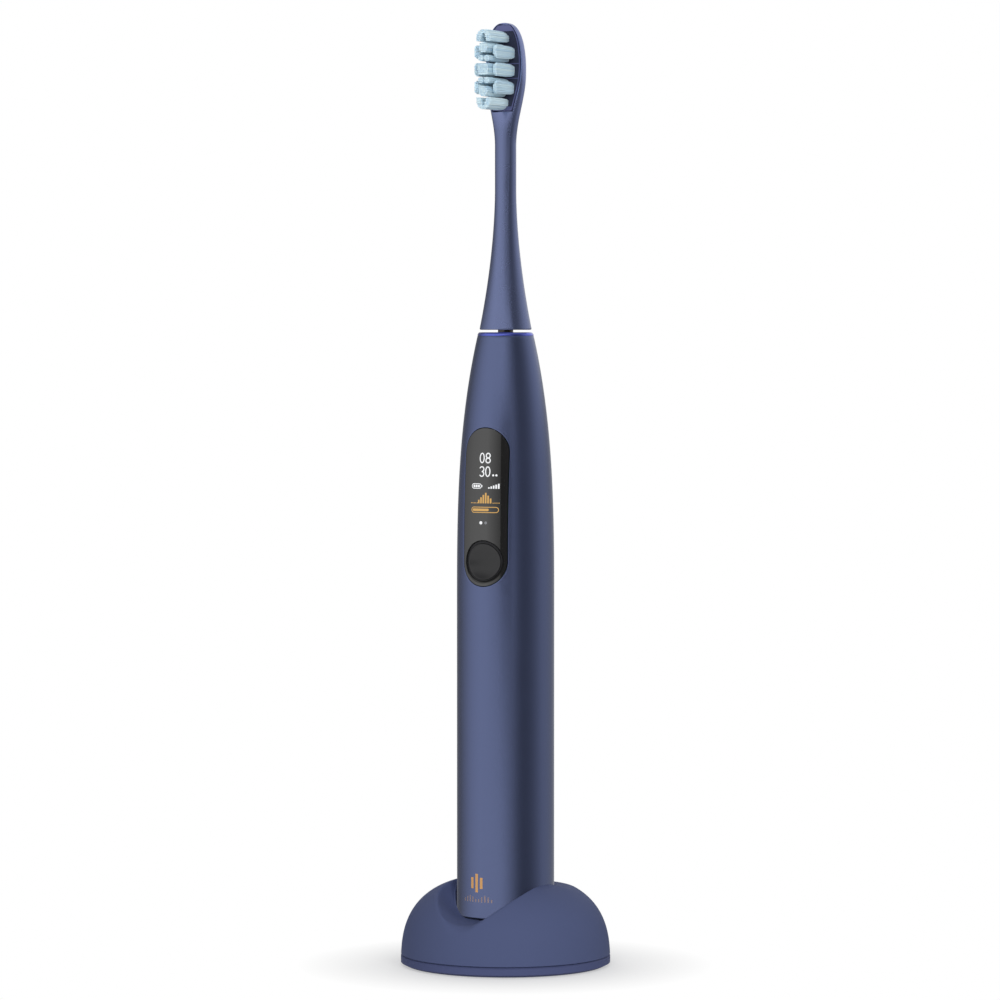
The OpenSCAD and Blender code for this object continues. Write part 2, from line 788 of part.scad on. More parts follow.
module frame_screws()
  color([0.75, 0.75, 0.77])
    on_handle()
      for (p = screw_places()) {
        front_bar(small_screw_r, p[0], p[1], board_front - small_screw_reach, board_front + 0.1);
        difference() {
          front_bar(small_head_r, p[0], p[1], board_front + touch, board_front + touch + small_head_h);
          for (a = [0, 90])
            translate([p[0], -board_front - 0.5, p[1]]) rotate([0, a, 0])
              translate([-0.8, -1, -0.15]) cube([1.6, 1, 0.3]);
        }
      }

module battery_cell()
  color([0.2, 0.45, 0.35])
    on_handle()
      translate([0, 0, battery_z]) {
        cylinder(r = battery_r, h = battery_l);
        cylinder(r = nub_r, h = battery_l + nub_h);
      }

module battery_tabs()
  color([0.78, 0.77, 0.72])
    on_handle()
      for (z = [battery_z - touch - tab_t, battery_z + battery_l + nub_h + touch])
        translate([-tab_w / 2, nub_r - tab_l, z]) cube([tab_w, tab_l, tab_t]);

module main_board()
  color([0.08, 0.35, 0.18])
    on_handle()
      difference() {
        union() {
          translate([-board_w / 2, -board_front, board_z])
            cube([board_w, board_t, board_neck_z - board_z]);
          translate([-board_neck_w / 2, -board_front, board_neck_z - 1])
            cube([board_neck_w, board_t, board_end - board_neck_z + 1]);
        }
        for (p = screw_places()) front_bar(small_screw_r + slip, p[0], p[1], board_back - 1, far);
      }

module main_board_parts()
  color([0.12, 0.12, 0.13])
    on_handle() {
      chip(0, button_z - 14, 7, 7, 0.9);
      chip(-2, board_z + 32, 4, 5, 0.8);
      chip(3, board_z + 31, 3, 3, 1.2);
      chip(0, board_z + 4, 8, 4, 1.4);
      chip(0, board_z + 16, 5, 5, 1.1);
      for (i = [0:4]) chip(-4 + 2 * i, board_z + 24, 1.2, 2, 0.6);
      for (i = [0:3]) chip(5, board_z + 8 + 4 * i, 1.2, 2, 0.6);
    }

module button_switch()
  color([0.7, 0.7, 0.68])
    on_handle()
      union() {
        chip(0, button_z, 4, 4, switch_h - 0.3);
        front_bar(1.1, 0, button_z, board_front, board_front + switch_h);
      }

module display_module()
  color([0.1, 0.1, 0.12])
    on_handle()
      chip(0, display_z + display_l / 2, 2 * display_half, display_l, display_h);

module display_window()
  color([0.17, 0.17, 0.18])
    on_handle()
      difference() {
        intersection() {
          stadium(panel_half, 0);
          handle_body(0, panel_z - 5, handle_len - 5);
        }
        handle_body(panel_t - touch, panel_z - 10, handle_len);
        front_bar(button_r + slip, 0, button_z, 1, far);
        difference() {
          front_bar(well_r, 0, button_z, 1, far);
          handle_body(well_deep, panel_z - 10, handle_len);
        }
      }

module power_button()
  color([0.2, 0.2, 0.21])
    on_handle() {
      difference() {
        intersection() {
          front_bar(button_r, 0, button_z, flange_y - 0.3, far);
          handle_body(button_sunk, button_z - 10, button_z + 10);
        }
        translate([0, button_sunk - handle_r - dish_r + dish_deep, button_z])
          sphere(r = dish_r, $fn = 96);
      }
      front_bar(flange_r, 0, button_z, flange_y - flange_t, flange_y);
      front_bar(stem_r, 0, button_z, board_front + switch_h + button_travel + touch, flange_y - 0.3);
    }

// ---- motor and drive ----

module motor_can()
  color([0.7, 0.71, 0.73])
    on_handle()
      translate([0, 0, motor_z]) {
        difference() {
          cylinder(r = motor_r, h = motor_l);
          translate([0, 0, can_floor]) cylinder(r = can_bore, h = far);
        }
        translate([0, 0, can_floor - 0.3]) ring(bearing_r + touch + 0.9, bearing_r + touch, 2.5);
      }

module motor_cap()
  color([0.62, 0.63, 0.65])
    on_handle()
      translate([0, 0, cap_plate_z]) ring(motor_r - touch, bearing_r + touch, cap_plate_t);

module bearing(z)
  on_handle()
    translate([0, 0, z])
      difference() {
        cylinder(r = bearing_r, h = bearing_h);
        translate([0, 0, -1]) cylinder(r = shaft_r + running, h = far);
      }

module rear_bearing() color([0.75, 0.6, 0.3]) bearing(rear_bearing_z);
module front_bearing() color([0.75, 0.6, 0.3]) bearing(front_bearing_z);

module stator_bobbin()
  color([0.85, 0.84, 0.8])
    on_handle()
      translate([0, 0, bobbin_z]) {
        ring(bobbin_tube_r, bobbin_hole_r, bobbin_l);
        for (z = [0, bobbin_l - bobbin_flange])
          translate([0, 0, z]) ring(can_bore - slip, bobbin_hole_r, bobbin_flange);
      }

module stator_winding()
  color([0.72, 0.42, 0.2])
    on_handle()
      translate([0, 0, bobbin_z + bobbin_flange + touch])
        ring(can_bore - 0.3, bobbin_tube_r + touch, bobbin_l - 2 * bobbin_flange - 2 * touch);

module motor_mount()
  color([0.5, 0.5, 0.52])
    on_handle()
      translate([0, 0, mount_z])
        difference() {
          ring(handle_rad(mount_z + mount_t) - handle_wall - slip, bearing_r + 0.3, mount_t);
          for (a = [0:60:300])
            rotate([0, 0, a]) translate([bearing_r + 2.3, 0, -1]) cylinder(r = 0.8, h = far, $fn = 24);
        }

module damper_ring()
  color([0.12, 0.12, 0.13])
    on_handle()
      translate([0, 0, damper_z])
        ring(handle_rad(damper_z + damper_h) - handle_wall - slip, bearing_r + 0.7, damper_h);

module shaft_seal()
  color([0.14, 0.14, 0.15])
    on_handle()
      difference() {
        union() {
          translate([0, 0, seal_flange_z])
            cylinder(r = handle_rad(nose_bottom) - handle_wall - slip, h = seal_flange_t);
          translate([0, 0, seal_flange_z]) cylinder(r = seal_r, h = handle_len - 0.4 - seal_flange_z);
        }
        translate([0, 0, seal_flange_z - 1]) cylinder(r = seal_bore_r, h = far);
      }

module drive_shaft()
  color([0.82, 0.83, 0.85])
    on_handle()
      difference() {
        translate([0, 0, shaft_z]) cylinder(r = shaft_r, h = shaft_end - shaft_z);
        translate([0, 0, clip_z]) ring(shaft_r + 1, groove_r, clip_t);
        translate([-far / 2, flat_y, handle_len + head_gap + flat_z]) cube([far, far, far]);
      }

module rotor_magnets()
  color([0.35, 0.36, 0.38])
    on_handle()
      translate([0, 0, bobbin_z + magnet_in])
        difference() {
          ring(magnet_r, shaft_r + touch, bobbin_l - 2 * magnet_in);
          translate([-far / 2, -0.2, -1]) cube([far, 0.4, far]);
        }

module retaining_clip()
  color([0.6, 0.6, 0.62])
    on_handle()
      translate([0, 0, clip_z + touch])
        difference() {
          ring(shaft_r + 1.2, groove_r + touch, clip_t - 2 * touch);
          translate([-1, 0, -1]) cube([2, far, far]);
        }

// ---- brush head ----

module head_shell()
  color([0.36, 0.4, 0.58])
    on_head()
      difference() {
        head_body();
        translate([0, 0, -1]) cylinder(r = insert_r + touch, h = insert_z + insert_l + slip + 1);
        translate([0, 0, -1])
          cylinder(r = insert_flange_r + touch, h = insert_z + insert_flange_t + slip + 1);
        front_prism(plate_back, far) polygon(plate_outline(plate_in - groove_w));
      }

module shaft_insert()
  color([0.8, 0.8, 0.8])
    on_head()
      difference() {
        translate([0, 0, insert_z]) {
          cylinder(r = insert_r, h = insert_l);
          cylinder(r = insert_flange_r, h = insert_flange_t);
        }
        difference() {
          cylinder(r = insert_bore_r, h = shaft_in + 0.3);
          translate([-far / 2, flat_y + 0.07, flat_z]) cube([far, far, far]);
        }
        translate([0, 0, grip_z]) cylinder(r = shaft_r + 0.75, h = grip_h);
      }

module grip_ring()
  color([0.7, 0.7, 0.72])
    on_head()
      translate([0, 0, grip_z + touch])
        difference() {
          ring(shaft_r + 0.7, shaft_r + 0.1, grip_h - 2 * touch);
          translate([-0.6, 0, -1]) cube([1.2, far, far]);
        }

module tuft_outlines(grow) {
  rows() side_outline(grow);
  square_outline(grow);
  spot_outline(grow);
  round_outline(grow);
  end_outline(grow);
}

module bristle_plate()
  color([0.36, 0.4, 0.58])
    on_head()
      difference() {
        intersection() {
          head_body();
          front_prism(plate_back - touch, far) polygon(plate_outline(plate_in));
        }
        front_prism(hole_bottom, far) tuft_outlines(touch);
      }

module tuft_anchors()
  color([0.8, 0.66, 0.35])
    on_head()
      front_prism(hole_bottom - touch, anchor_t - hole_bottom + touch) {
        rows() for (s = [-1, 1])
          translate([s * (side_in + side_out) / 2, 0]) square([0.3, 3.6], center = true);
        translate([0, field_z]) square([2.6, 0.3], center = true);
        for (s = [-1, 1], u = [-1, 1])
          translate([s * spot_x, field_z + u * spot_z]) square([1.2, 0.3], center = true);
        for (u = [-1, 1]) translate([0, field_z + u * round_z]) square([2.2, 0.3], center = true);
        for (s = [-1, 1], u = [-1, 1])
          translate([s * 1.6, field_z + u * (end_z + 0.9)]) square([0.9, 0.3], center = true);
      }

// Side tufts lean their tips outwards
module side_tufts()
  color([0.76, 0.86, 0.93])
    on_head()
      for (s = [-1, 1], r = [-1, 0, 1])
        mirror([s < 0 ? 1 : 0, 0, 0])
          translate([0, 0, field_z + r * rows_z - side_half_h])
            linear_extrude(2 * side_half_h)
              polygon([
                [side_in, tuft_root], [side_out, tuft_root], [side_out, -tip_y + side_short],
                [side_in, -tip_y + side_short + side_slant]
              ]);

module middle_tufts()
  color([0.76, 0.86, 0.93])
    on_head()
      front_prism(tuft_root, tip_y) {
        square_outline(0);
        spot_outline(0);
        round_outline(0);
      }

module end_tufts()
  color([0.76, 0.86, 0.93])
    on_head() front_prism(tuft_root, tip_y - 0.3) end_outline(0);

dock_cover();
base_plate();
foot_pad();
dock_weight();
cover_screws();
charge_coil();
charge_ferrite();
dock_board();
dock_board_parts();
cable_grommet();
handle_shell();
nose_ring();
end_cap();
end_cap_seal();
receiver_coil();
receiver_ferrite();
inner_frame();
frame_screws();
battery_cell();
battery_tabs();
main_board();
main_board_parts();
button_switch();
display_module();
display_window();
motor_can();
motor_cap();
stator_bobbin();
stator_winding();
rear_bearing();
front_bearing();
motor_mount();
damper_ring();
shaft_seal();
power_button();
drive_shaft();
rotor_magnets();
retaining_clip();
head_shell();
shaft_insert();
grip_ring();
bristle_plate();
tuft_anchors();
side_tufts();
middle_tufts();
end_tufts();
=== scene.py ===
# Electric toothbrush standing in its charging dock: finishes, fine shapes and studio.
# Shapes are worked out in millimetres, +Z up, front of the handle towards -Y, and made in metres.
import math

import bmesh
import bpy
import numpy as np
from mathutils import Matrix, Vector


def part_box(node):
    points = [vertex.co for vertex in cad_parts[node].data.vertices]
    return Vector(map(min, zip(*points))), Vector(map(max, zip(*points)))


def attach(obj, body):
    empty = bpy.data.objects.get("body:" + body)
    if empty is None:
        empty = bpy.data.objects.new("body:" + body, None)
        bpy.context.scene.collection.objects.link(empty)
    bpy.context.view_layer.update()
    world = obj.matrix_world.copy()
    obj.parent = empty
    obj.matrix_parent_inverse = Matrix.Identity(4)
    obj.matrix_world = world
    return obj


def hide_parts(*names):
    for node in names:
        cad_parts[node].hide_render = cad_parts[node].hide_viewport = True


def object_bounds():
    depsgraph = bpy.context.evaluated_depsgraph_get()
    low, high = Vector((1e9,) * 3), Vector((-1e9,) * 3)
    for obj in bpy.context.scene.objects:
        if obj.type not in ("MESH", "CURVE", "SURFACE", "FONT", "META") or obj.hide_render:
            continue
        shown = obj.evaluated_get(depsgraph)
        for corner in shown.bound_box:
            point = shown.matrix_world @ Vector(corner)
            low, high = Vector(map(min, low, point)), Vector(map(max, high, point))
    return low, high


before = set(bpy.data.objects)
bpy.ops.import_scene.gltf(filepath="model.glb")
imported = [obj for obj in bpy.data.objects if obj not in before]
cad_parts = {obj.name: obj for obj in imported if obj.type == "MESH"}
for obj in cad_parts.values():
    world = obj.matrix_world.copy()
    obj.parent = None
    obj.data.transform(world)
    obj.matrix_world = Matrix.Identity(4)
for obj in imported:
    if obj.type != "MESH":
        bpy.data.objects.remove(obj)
CAD_BOX = [list(corner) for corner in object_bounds()]

MM = 0.001
TURN = 2 * math.pi


def box(node):
    """Lowest and highest corner of a CAD node, in millimetres."""
    low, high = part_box(node)
    return np.array(low) / MM, np.array(high) / MM


# ---- sizes ----

# Charging dock
DOCK_R = box("base_plate")[1][0]
PLATE_LOW = box("base_plate")[0][2]
HANDLE_Z = box("handle_shell")[0][2]
HANDLE_R = box("handle_shell")[1][0]
PLATE_T = 2.8
PLATE_TOP = PLATE_LOW + PLATE_T
DOME_H = 25.7
DOME_POWER = 2.7
DOCK_WALL = 2.0
COVER_COLUMNS = 320
COVER_ROWS = 110
SOCKET_GAP = 0.4
SOCKET_R = HANDLE_R + SOCKET_GAP
SOCKET_WALL = 1.6
SOCKET_FLOOR = HANDLE_Z - 0.2
FLOOR_T = 1.8
SEAM_DEEP = 0.55
SEAM_HALF = 0.35
SCOOP_FLOOR = SOCKET_FLOOR - 0.2
SCOOP_HALF = 15.0
SCOOP_SQUARE = 3.5
SCOOP_HALF_RIGHT = 13.75
SCOOP_SQUARE_RIGHT = 2.9
SCOOP_RIGHT_OVER = 6.0
SCOOP_OPEN = 2.0
SCOOP_OPEN_FROM = 10.0
SCOOP_FADE = 12.0
SCOOP_BACK = 4.0
SCOOP_BACK_RISE = 14.0
LIP_L = 5.0
LIP_DROP = 4.0
LIP_START = DOCK_R - LIP_L
CREST_SOFT = 1.0
RIM_ROUND = 0.4
SHOULDER_Z = 24.5
SHOULDER_DROP = 1.9
SHOULDER_RISE = 3.0
SHOULDER_SOFT = 0.8
SHOULDER_FADE = 8.0
SHOULDER_BACK = 2.0
SHOULDER_LEFT = 5.0
INLET_Z = 8.4
INLET_BODY_R = 3.3
INLET_DEEP = 12.0
DRILL_L = 20.0

# Handle, with heights over its own bottom
RING_TOP = box("nose_ring")[1][2] - HANDLE_Z
RING_LOW = box("nose_ring")[0][2] - HANDLE_Z
TAPER_Z = 90.5
NOSE_R = 7.84
TAPER_POWER = 2.9
BOTTOM_ROUND = 0.6
BOTTOM_LAND = 0.45
SHELL_WALL = 2.0
SHELL_EDGE = 0.13
SEAL_R = 4.6
RING_WALL_H = 0.42
RING_ROUND = 0.55

# Window and button
PANEL_HALF = 6.93
PANEL_GAP = 0.2
PANEL_Z = 95.5
PANEL_END = PANEL_Z + 45.0
PANEL_T = 0.8
PANEL_EDGE = 0.02
BUTTON_Z = PANEL_Z + PANEL_HALF
WINDOW_SEAM = BUTTON_Z + PANEL_HALF + 1
WINDOW_COLUMNS = 14
WINDOW_FOOT = 48
BEZEL_R = 6.2
BUTTON_HOLE_R = 5.3
WELL_DEEP = 0.7
WELL_STEEP = math.radians(140)
BUTTON_R = 5.15
BUTTON_DEEP = 0.2
BUTTON_BACK = 11.4
DISH_DEEP = 1.8
BUTTON_COLUMNS = 96

# Opening in the handle's skin, filled in to the window's outline
HOLE_MARGIN = 2.5
HOLE_LOW = PANEL_Z - HOLE_MARGIN
HOLE_HIGH = PANEL_END + HOLE_MARGIN
HOLE_ROWS = 42
HOLE_COLUMNS = 20
HOLE_STEPS = (0.25, 0.5, 0.72, 0.88, 1.0)
HANDLE_COLUMNS = 176

# Brush head, with heights over its collar
HEAD_Z = box("head_shell")[0][2]
HEAD_LEN = box("head_shell")[1][2] - HEAD_Z
COLLAR_R = 7.52
FOOT_Z = 0.35
NECK_R = 3.06
NECK_Z = 40.2
NECK_POWER = 1.8
HEAD_HALF = 6.1
HEAD_MID = 72.6
FACE_Y = 1.1
FACE_SQUARE = 0.12
FACE_SAG = 0.02
NECK_SAG = 0.25
BACK_DEEP = 2.9
BACK_SQUARE = 0.8
CREASE = math.radians(50)
CREASE_LOW = math.radians(45)
CREASE_DIP = math.radians(8)
CREASE_Z = 36.0
CREASE_OVER = 16.0
WIDE_Y = 0.46
TIP_ROUND = 2.58
TIP_THIN = 2.5
SPREAD_Z = HEAD_MID - 19.9
BLEND_Z = HEAD_MID - 15
BLEND_END = HEAD_MID + 4.9
BORE_R = 3.95
BORE_DEEP = 15.0
MOUTH_R = 5.65
MOUTH_DEEP = 2.5
PLATE_IN = 0.6
GROOVE_W = 0.34
GROOVE_FRONT = -6.0
PLATE_BACK = 0.25
PLATE_FROM = HEAD_MID - 10.6
FIELD_DEEP = 0.4
LAND_W = 0.92
FIELD_IN = 1.0
SHRINKS = (0, 0.3, 0.7, 0.97)

# Tufts, with heights over the collar
FIELD_Z = 73.97
FIELD_END = FIELD_Z + 11.4
FIELD_FROM = PLATE_FROM + FIELD_IN + 0.85
FIELD_CORE = 5.0
RIB_Z = 2.1
RIB_HALF = 0.13
TIP_Y = 13.9
TUFT_ROOT = -0.6
ROWS_Z = 5.02
SIDE_IN = 1.9
SIDE_OUT = 3.6
SIDE_HALF_H = 1.87
SIDE_DROP = 1.4
SIDE_SLANT = 1.2
CORNER_CUT = 0.7
SQUARE_HALF = 1.62
SQUARE_CUT = 0.4
SPOT_X = 0.95
SPOT_Z = 3.15
SPOT_R = 0.85
SPOT_DROP = 0.4
ROUND_Z = 6.2
ROUND_R = 1.45
ROUND_DROP = 0.1
END_Z = 7.95
END_DROP = 0.3
STRAND_R = 0.141
STRAND_STEP = 0.25
CLUMP = (0.55, 0.62)
CLUMP_PULL = 0.16
CLUMP_CELLS = 64
CLUMP_FROM = (8, 14)
SHARED_SHADE = 0.7
OWN_SHADE = 0.3
FORWARD = (math.pi / 2, 0, 0)


def mix(a, b, t):
    return a + (b - a) * t


def ease(t):
    """Smooth step from 0 to 1."""
    c = np.clip(t, 0, 1)
    return c * c * (3 - 2 * c)


def soft_min(a, b, round_by):
    """The lower of two heights, with the crease where they meet rounded."""
    h = np.maximum(round_by - np.abs(a - b), 0) / round_by
    return np.minimum(a, b) - h * h * round_by / 4


# ---- meshes ----


class Skin:
    """Rows of points in millimetres and the faces between them."""

    def __init__(self):
        self.points = []
        self.faces = []

    def row(self, points):
        start = len(self.points)
        self.points.extend((float(x), float(y), float(z)) for x, y, z in points)
        return list(range(start, len(self.points)))

    def join(self, low, high, closed=True):
        count = len(low)
        for i in range(count if closed else count - 1):
            j = (i + 1) % count
            self.faces.append((low[i], low[j], high[j], high[i]))

    def chain(self, point_rows, start=None, closed=True):
        """Joins rows one after another, from a row that is there already if there is one."""
        ids = [start] if start else []
        for points in point_rows:
            ids.append(self.row(points))
            if len(ids) > 1:
                self.join(ids[-2], ids[-1], closed)
        return ids

    def cap(self, ring, flip=False):
        middle = self.row([np.mean([self.points[i] for i in ring], axis=0)])[0]
        for i, a in enumerate(ring):
            b = ring[(i + 1) % len(ring)]
            self.faces.append((b, a, middle) if flip else (a, b, middle))


def solid(point_rows, ends="middles"):
    """A closed skin of closed rows. Its ends are closed at their middles or flat, or joined."""
    skin = Skin()
    ids = skin.chain(point_rows)
    if ends == "joined":
        skin.join(ids[-1], ids[0])
    elif ends == "flat":
        skin.faces += [tuple(reversed(ids[0])), tuple(ids[-1])]
    else:
        skin.cap(ids[0], flip=True)
        skin.cap(ids[-1])
    return skin


def joined(skins):
    whole = Skin()
    for skin in skins:
        start = len(whole.points)
        whole.points += skin.points
        whole.faces += [tuple(i + start for i in face) for face in skin.faces]
    return whole


def full_turn(count):
    return np.arange(count) * TURN / count


def turned_row(radius, z, turn):
    """Points at a radius, a height and some turns, from the front round by the right."""
    z = np.broadcast_to(z, len(turn))
    return np.stack([radius * np.sin(turn), -radius * np.cos(turn), z], axis=1)


def circle_row(radius, z, count):
    return turned_row(radius, z, full_turn(count))


def turn_faces(mesh, closed=True):
    """Points the faces of a closed mesh outwards, and those of an open front skin towards -Y."""
    merge = 1e-7
    bm = bmesh.new()
    bm.from_mesh(mesh)
    if closed:
        bmesh.ops.remove_doubles(bm, verts=bm.verts, dist=merge)
        bmesh.ops.dissolve_degenerate(bm, dist=merge, edges=bm.edges)
    bmesh.ops.recalc_face_normals(bm, faces=bm.faces)
    if not closed and sum(face.normal.y * face.calc_area() for face in bm.faces) > 0:
        bmesh.ops.reverse_faces(bm, faces=bm.faces)
    bm.to_mesh(mesh)
    bm.free()


def put(name, data):
    """A new object in the scene, at the origin."""
    obj = bpy.data.objects.new(name, data)
    bpy.context.scene.collection.objects.link(obj)
    return obj


def make(name, skin, closed=True):
    """An object from a skin."""
    mesh = bpy.data.meshes.new(name)
    mesh.from_pydata([tuple(c * MM for c in p) for p in skin.points], [], skin.faces)
    if closed:
        turn_faces(mesh)
    return put(name, mesh)


def settle(obj):
    """Turns an object's modifiers into plain mesh."""
    bpy.context.view_layer.update()
    graph = bpy.context.evaluated_depsgraph_get()
    mesh = bpy.data.meshes.new_from_object(obj.evaluated_get(graph))
    obj.modifiers.clear()
    obj.data = mesh


def thicken(obj, wall, edge=None):
    """Gives an open skin its wall, inwards, and rounds its edges where an edge size is given."""
    wall_mod = obj.modifiers.new("wall", "SOLIDIFY")
    wall_mod.thickness = wall * MM
    wall_mod.offset = -1
    if edge:
        wall_mod.use_even_offset = True
        bevel = obj.modifiers.new("edges", "BEVEL")
        bevel.width = edge * MM
        bevel.segments = 2
        bevel.limit_method = "ANGLE"
        bevel.angle_limit = math.radians(50)
    settle(obj)


def cut(obj, cutter):
    """Takes the cutter's solid out of the object and throws the cutter away."""
    hole = obj.modifiers.new("cut", "BOOLEAN")
    hole.operation = "DIFFERENCE"
    hole.solver = "EXACT"
    hole.object = cutter
    settle(obj)
    bpy.data.objects.remove(cutter, do_unlink=True)


def dress(obj, body, slot, *stands_for, material=None, crease=38):
    """The last step for every piece: smooth shading with edges sharper than the crease angle kept
    crisp, its finish, its body, and the CAD nodes that it stands for."""
    mesh = obj.data
    mesh.polygons.foreach_set("use_smooth", [True] * len(mesh.polygons))
    mesh.set_sharp_from_angle(angle=math.radians(crease))
    mesh.update()
    mesh.materials.clear()
    mesh.materials.append(material or FINISHES[slot])
    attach(obj, body)
    if stands_for:
        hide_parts(*stands_for)


def add_layer(mesh, name, values, kind="FLOAT"):
    """A named value for every point of a mesh."""
    layer = mesh.attributes.new(name, kind, "POINT")
    field = "value" if kind == "FLOAT" else "vector"
    layer.data.foreach_set(field, np.array(values, np.float32).ravel())


# ---- node trees ----


def feed(tree, node, inputs):
    """Fills a node's inputs, by name or number, with values, sockets or nodes' first outputs."""
    for name, value in inputs.items():
        if isinstance(value, bpy.types.Node):
            value = value.outputs[0]
        if isinstance(value, bpy.types.NodeSocket):
            tree.links.new(value, node.inputs[name])
        else:
            node.inputs[name].default_value = value


def add(tree, kind, inputs, **settings):
    """A new node with its settings and inputs."""
    node = tree.nodes.new(kind)
    for key, value in settings.items():
        setattr(node, key, value)
    feed(tree, node, inputs)
    return node


def set_shader(tree, inputs):
    """Fills inputs of a material's main shader."""
    shader = tree.nodes["Principled BSDF"]
    feed(tree, shader, inputs)
    return shader


def new_material(name):
    """A material and its node tree."""
    material = bpy.data.materials.new(name)
    material.use_nodes = True
    return material, material.node_tree


def object_place(tree):
    return add(tree, "ShaderNodeTexCoord", {}).outputs["Object"]


def attribute(tree, name):
    return add(tree, "ShaderNodeAttribute", {}, attribute_name=name).outputs["Fac"]


def noise(tree, place, size_mm, detail=2.0):
    inputs = {"Scale": 1 / (size_mm * MM), "Detail": detail, "Vector": place}
    return add(tree, "ShaderNodeTexNoise", inputs).outputs["Fac"]


def paint(tree, factor, low, high):
    """Colours a material between two tones by a factor."""
    inputs = {"Factor": factor, "A": (*low, 1), "B": (*high, 1)}
    blend = add(tree, "ShaderNodeMix", inputs, data_type="RGBA")
    set_shader(tree, {"Base Color": blend.outputs["Result"]})


def map_range(tree, value, *spans):
    """A value moved from one span to another, each from its lowest to its highest."""
    names = ("Value", "From Min", "From Max", "To Min", "To Max")
    return add(tree, "ShaderNodeMapRange", dict(zip(names, (value, *spans))))


def blend_surface(tree, factor, first, second):
    """Makes a mixture of two shaders the surface of a material."""
    blend = add(tree, "ShaderNodeMixShader", {"Fac": factor, 1: first, 2: second})
    feed(tree, tree.nodes["Material Output"], {"Surface": blend})


# ---- finishes ----

BODY_BLUE = (96, 106, 142)
BRUSHED = (1, 1, 0.04)
GRAIN_MM = 0.15
CLOUD_SPAN = (0.3, 0.7)
# Heights in metres between which the head's blue turns paler: painted light, standing in for the
# rim light along the head's side.
HEAD_PAINTED_LIGHT_SPAN = (0.240, 0.249)


def tone(red, green, blue):
    """A colour given in display values from 0 to 255."""
    steps = [v / 255 for v in (red, green, blue)]
    return tuple(s / 12.92 if s <= 0.04045 else ((s + 0.055) / 1.055) ** 2.4 for s in steps)


def finish(name, colour, roughness, metallic=0.0, mottle=0.05, mottle_mm=8.0, uneven=0.04,
           grain=0.2, grain_deep=0.01, draw=None, coat=0.0, specular=0.5):
    """A moulded, painted or machined finish: mottled colour, uneven gloss and a fine grain, which
    is drawn out along one axis for brushed or combed marks."""
    material, tree = new_material(name)
    place = object_place(tree)
    cloud = noise(tree, place, mottle_mm, 3)
    base = np.array(tone(*colour))
    paint(tree, cloud, base * (1 - mottle), np.minimum(base * (1 + mottle), 1))
    drawn = add(tree, "ShaderNodeMapping", {"Scale": draw, "Vector": place}) if draw else place
    fine = {"Strength": grain, "Distance": grain_deep * MM, "Height": noise(tree, drawn, GRAIN_MM)}
    set_shader(tree, {
        "Metallic": metallic,
        "Specular IOR Level": specular,
        "Coat Weight": coat,
        "Coat Roughness": 0.08,
        "Roughness": map_range(tree, cloud, *CLOUD_SPAN, roughness - uneven, roughness + uneven),
        "Normal": add(tree, "ShaderNodeBump", fine),
    })
    return material


def glow(name, colour, strength):
    """A lit mark on the display, a little uneven from dot to dot."""
    material = finish(name, (20, 20, 20), 0.4, grain=0.0, mottle=0.08, mottle_mm=0.4)
    set_shader(material.node_tree, {
        "Emission Color": (*tone(*colour), 1), "Emission Strength": strength})
    return material


def nylon():
    """Pale blue strands, each with its own shade."""
    material = finish("soft_nylon", (214, 236, 250), 0.45, grain=0.0, specular=0.4)
    tree = material.node_tree
    paint(tree, attribute(tree, "shade"), tone(194, 224, 244), tone(230, 250, 255))
    return material


def head_blue_painted_light():
    """Satin blue with painted light: paler from the neck to the head by its height in metres, for
    the rim light on its side.
    """
    material = finish("satin_blue_head_painted_light", (108, 118, 156), 0.27, metallic=0.85, uneven=0.02,
                      specular=0.2)
    tree = material.node_tree
    split = add(tree, "ShaderNodeSeparateXYZ", {0: object_place(tree)})
    height = map_range(tree, split.outputs["Z"], *HEAD_PAINTED_LIGHT_SPAN, 0, 1)
    # Painted light: the paler blue higher up stands in for the rim light on the head.
    paint(tree, height, tone(110, 120, 158), tone(130, 140, 184))
    return material


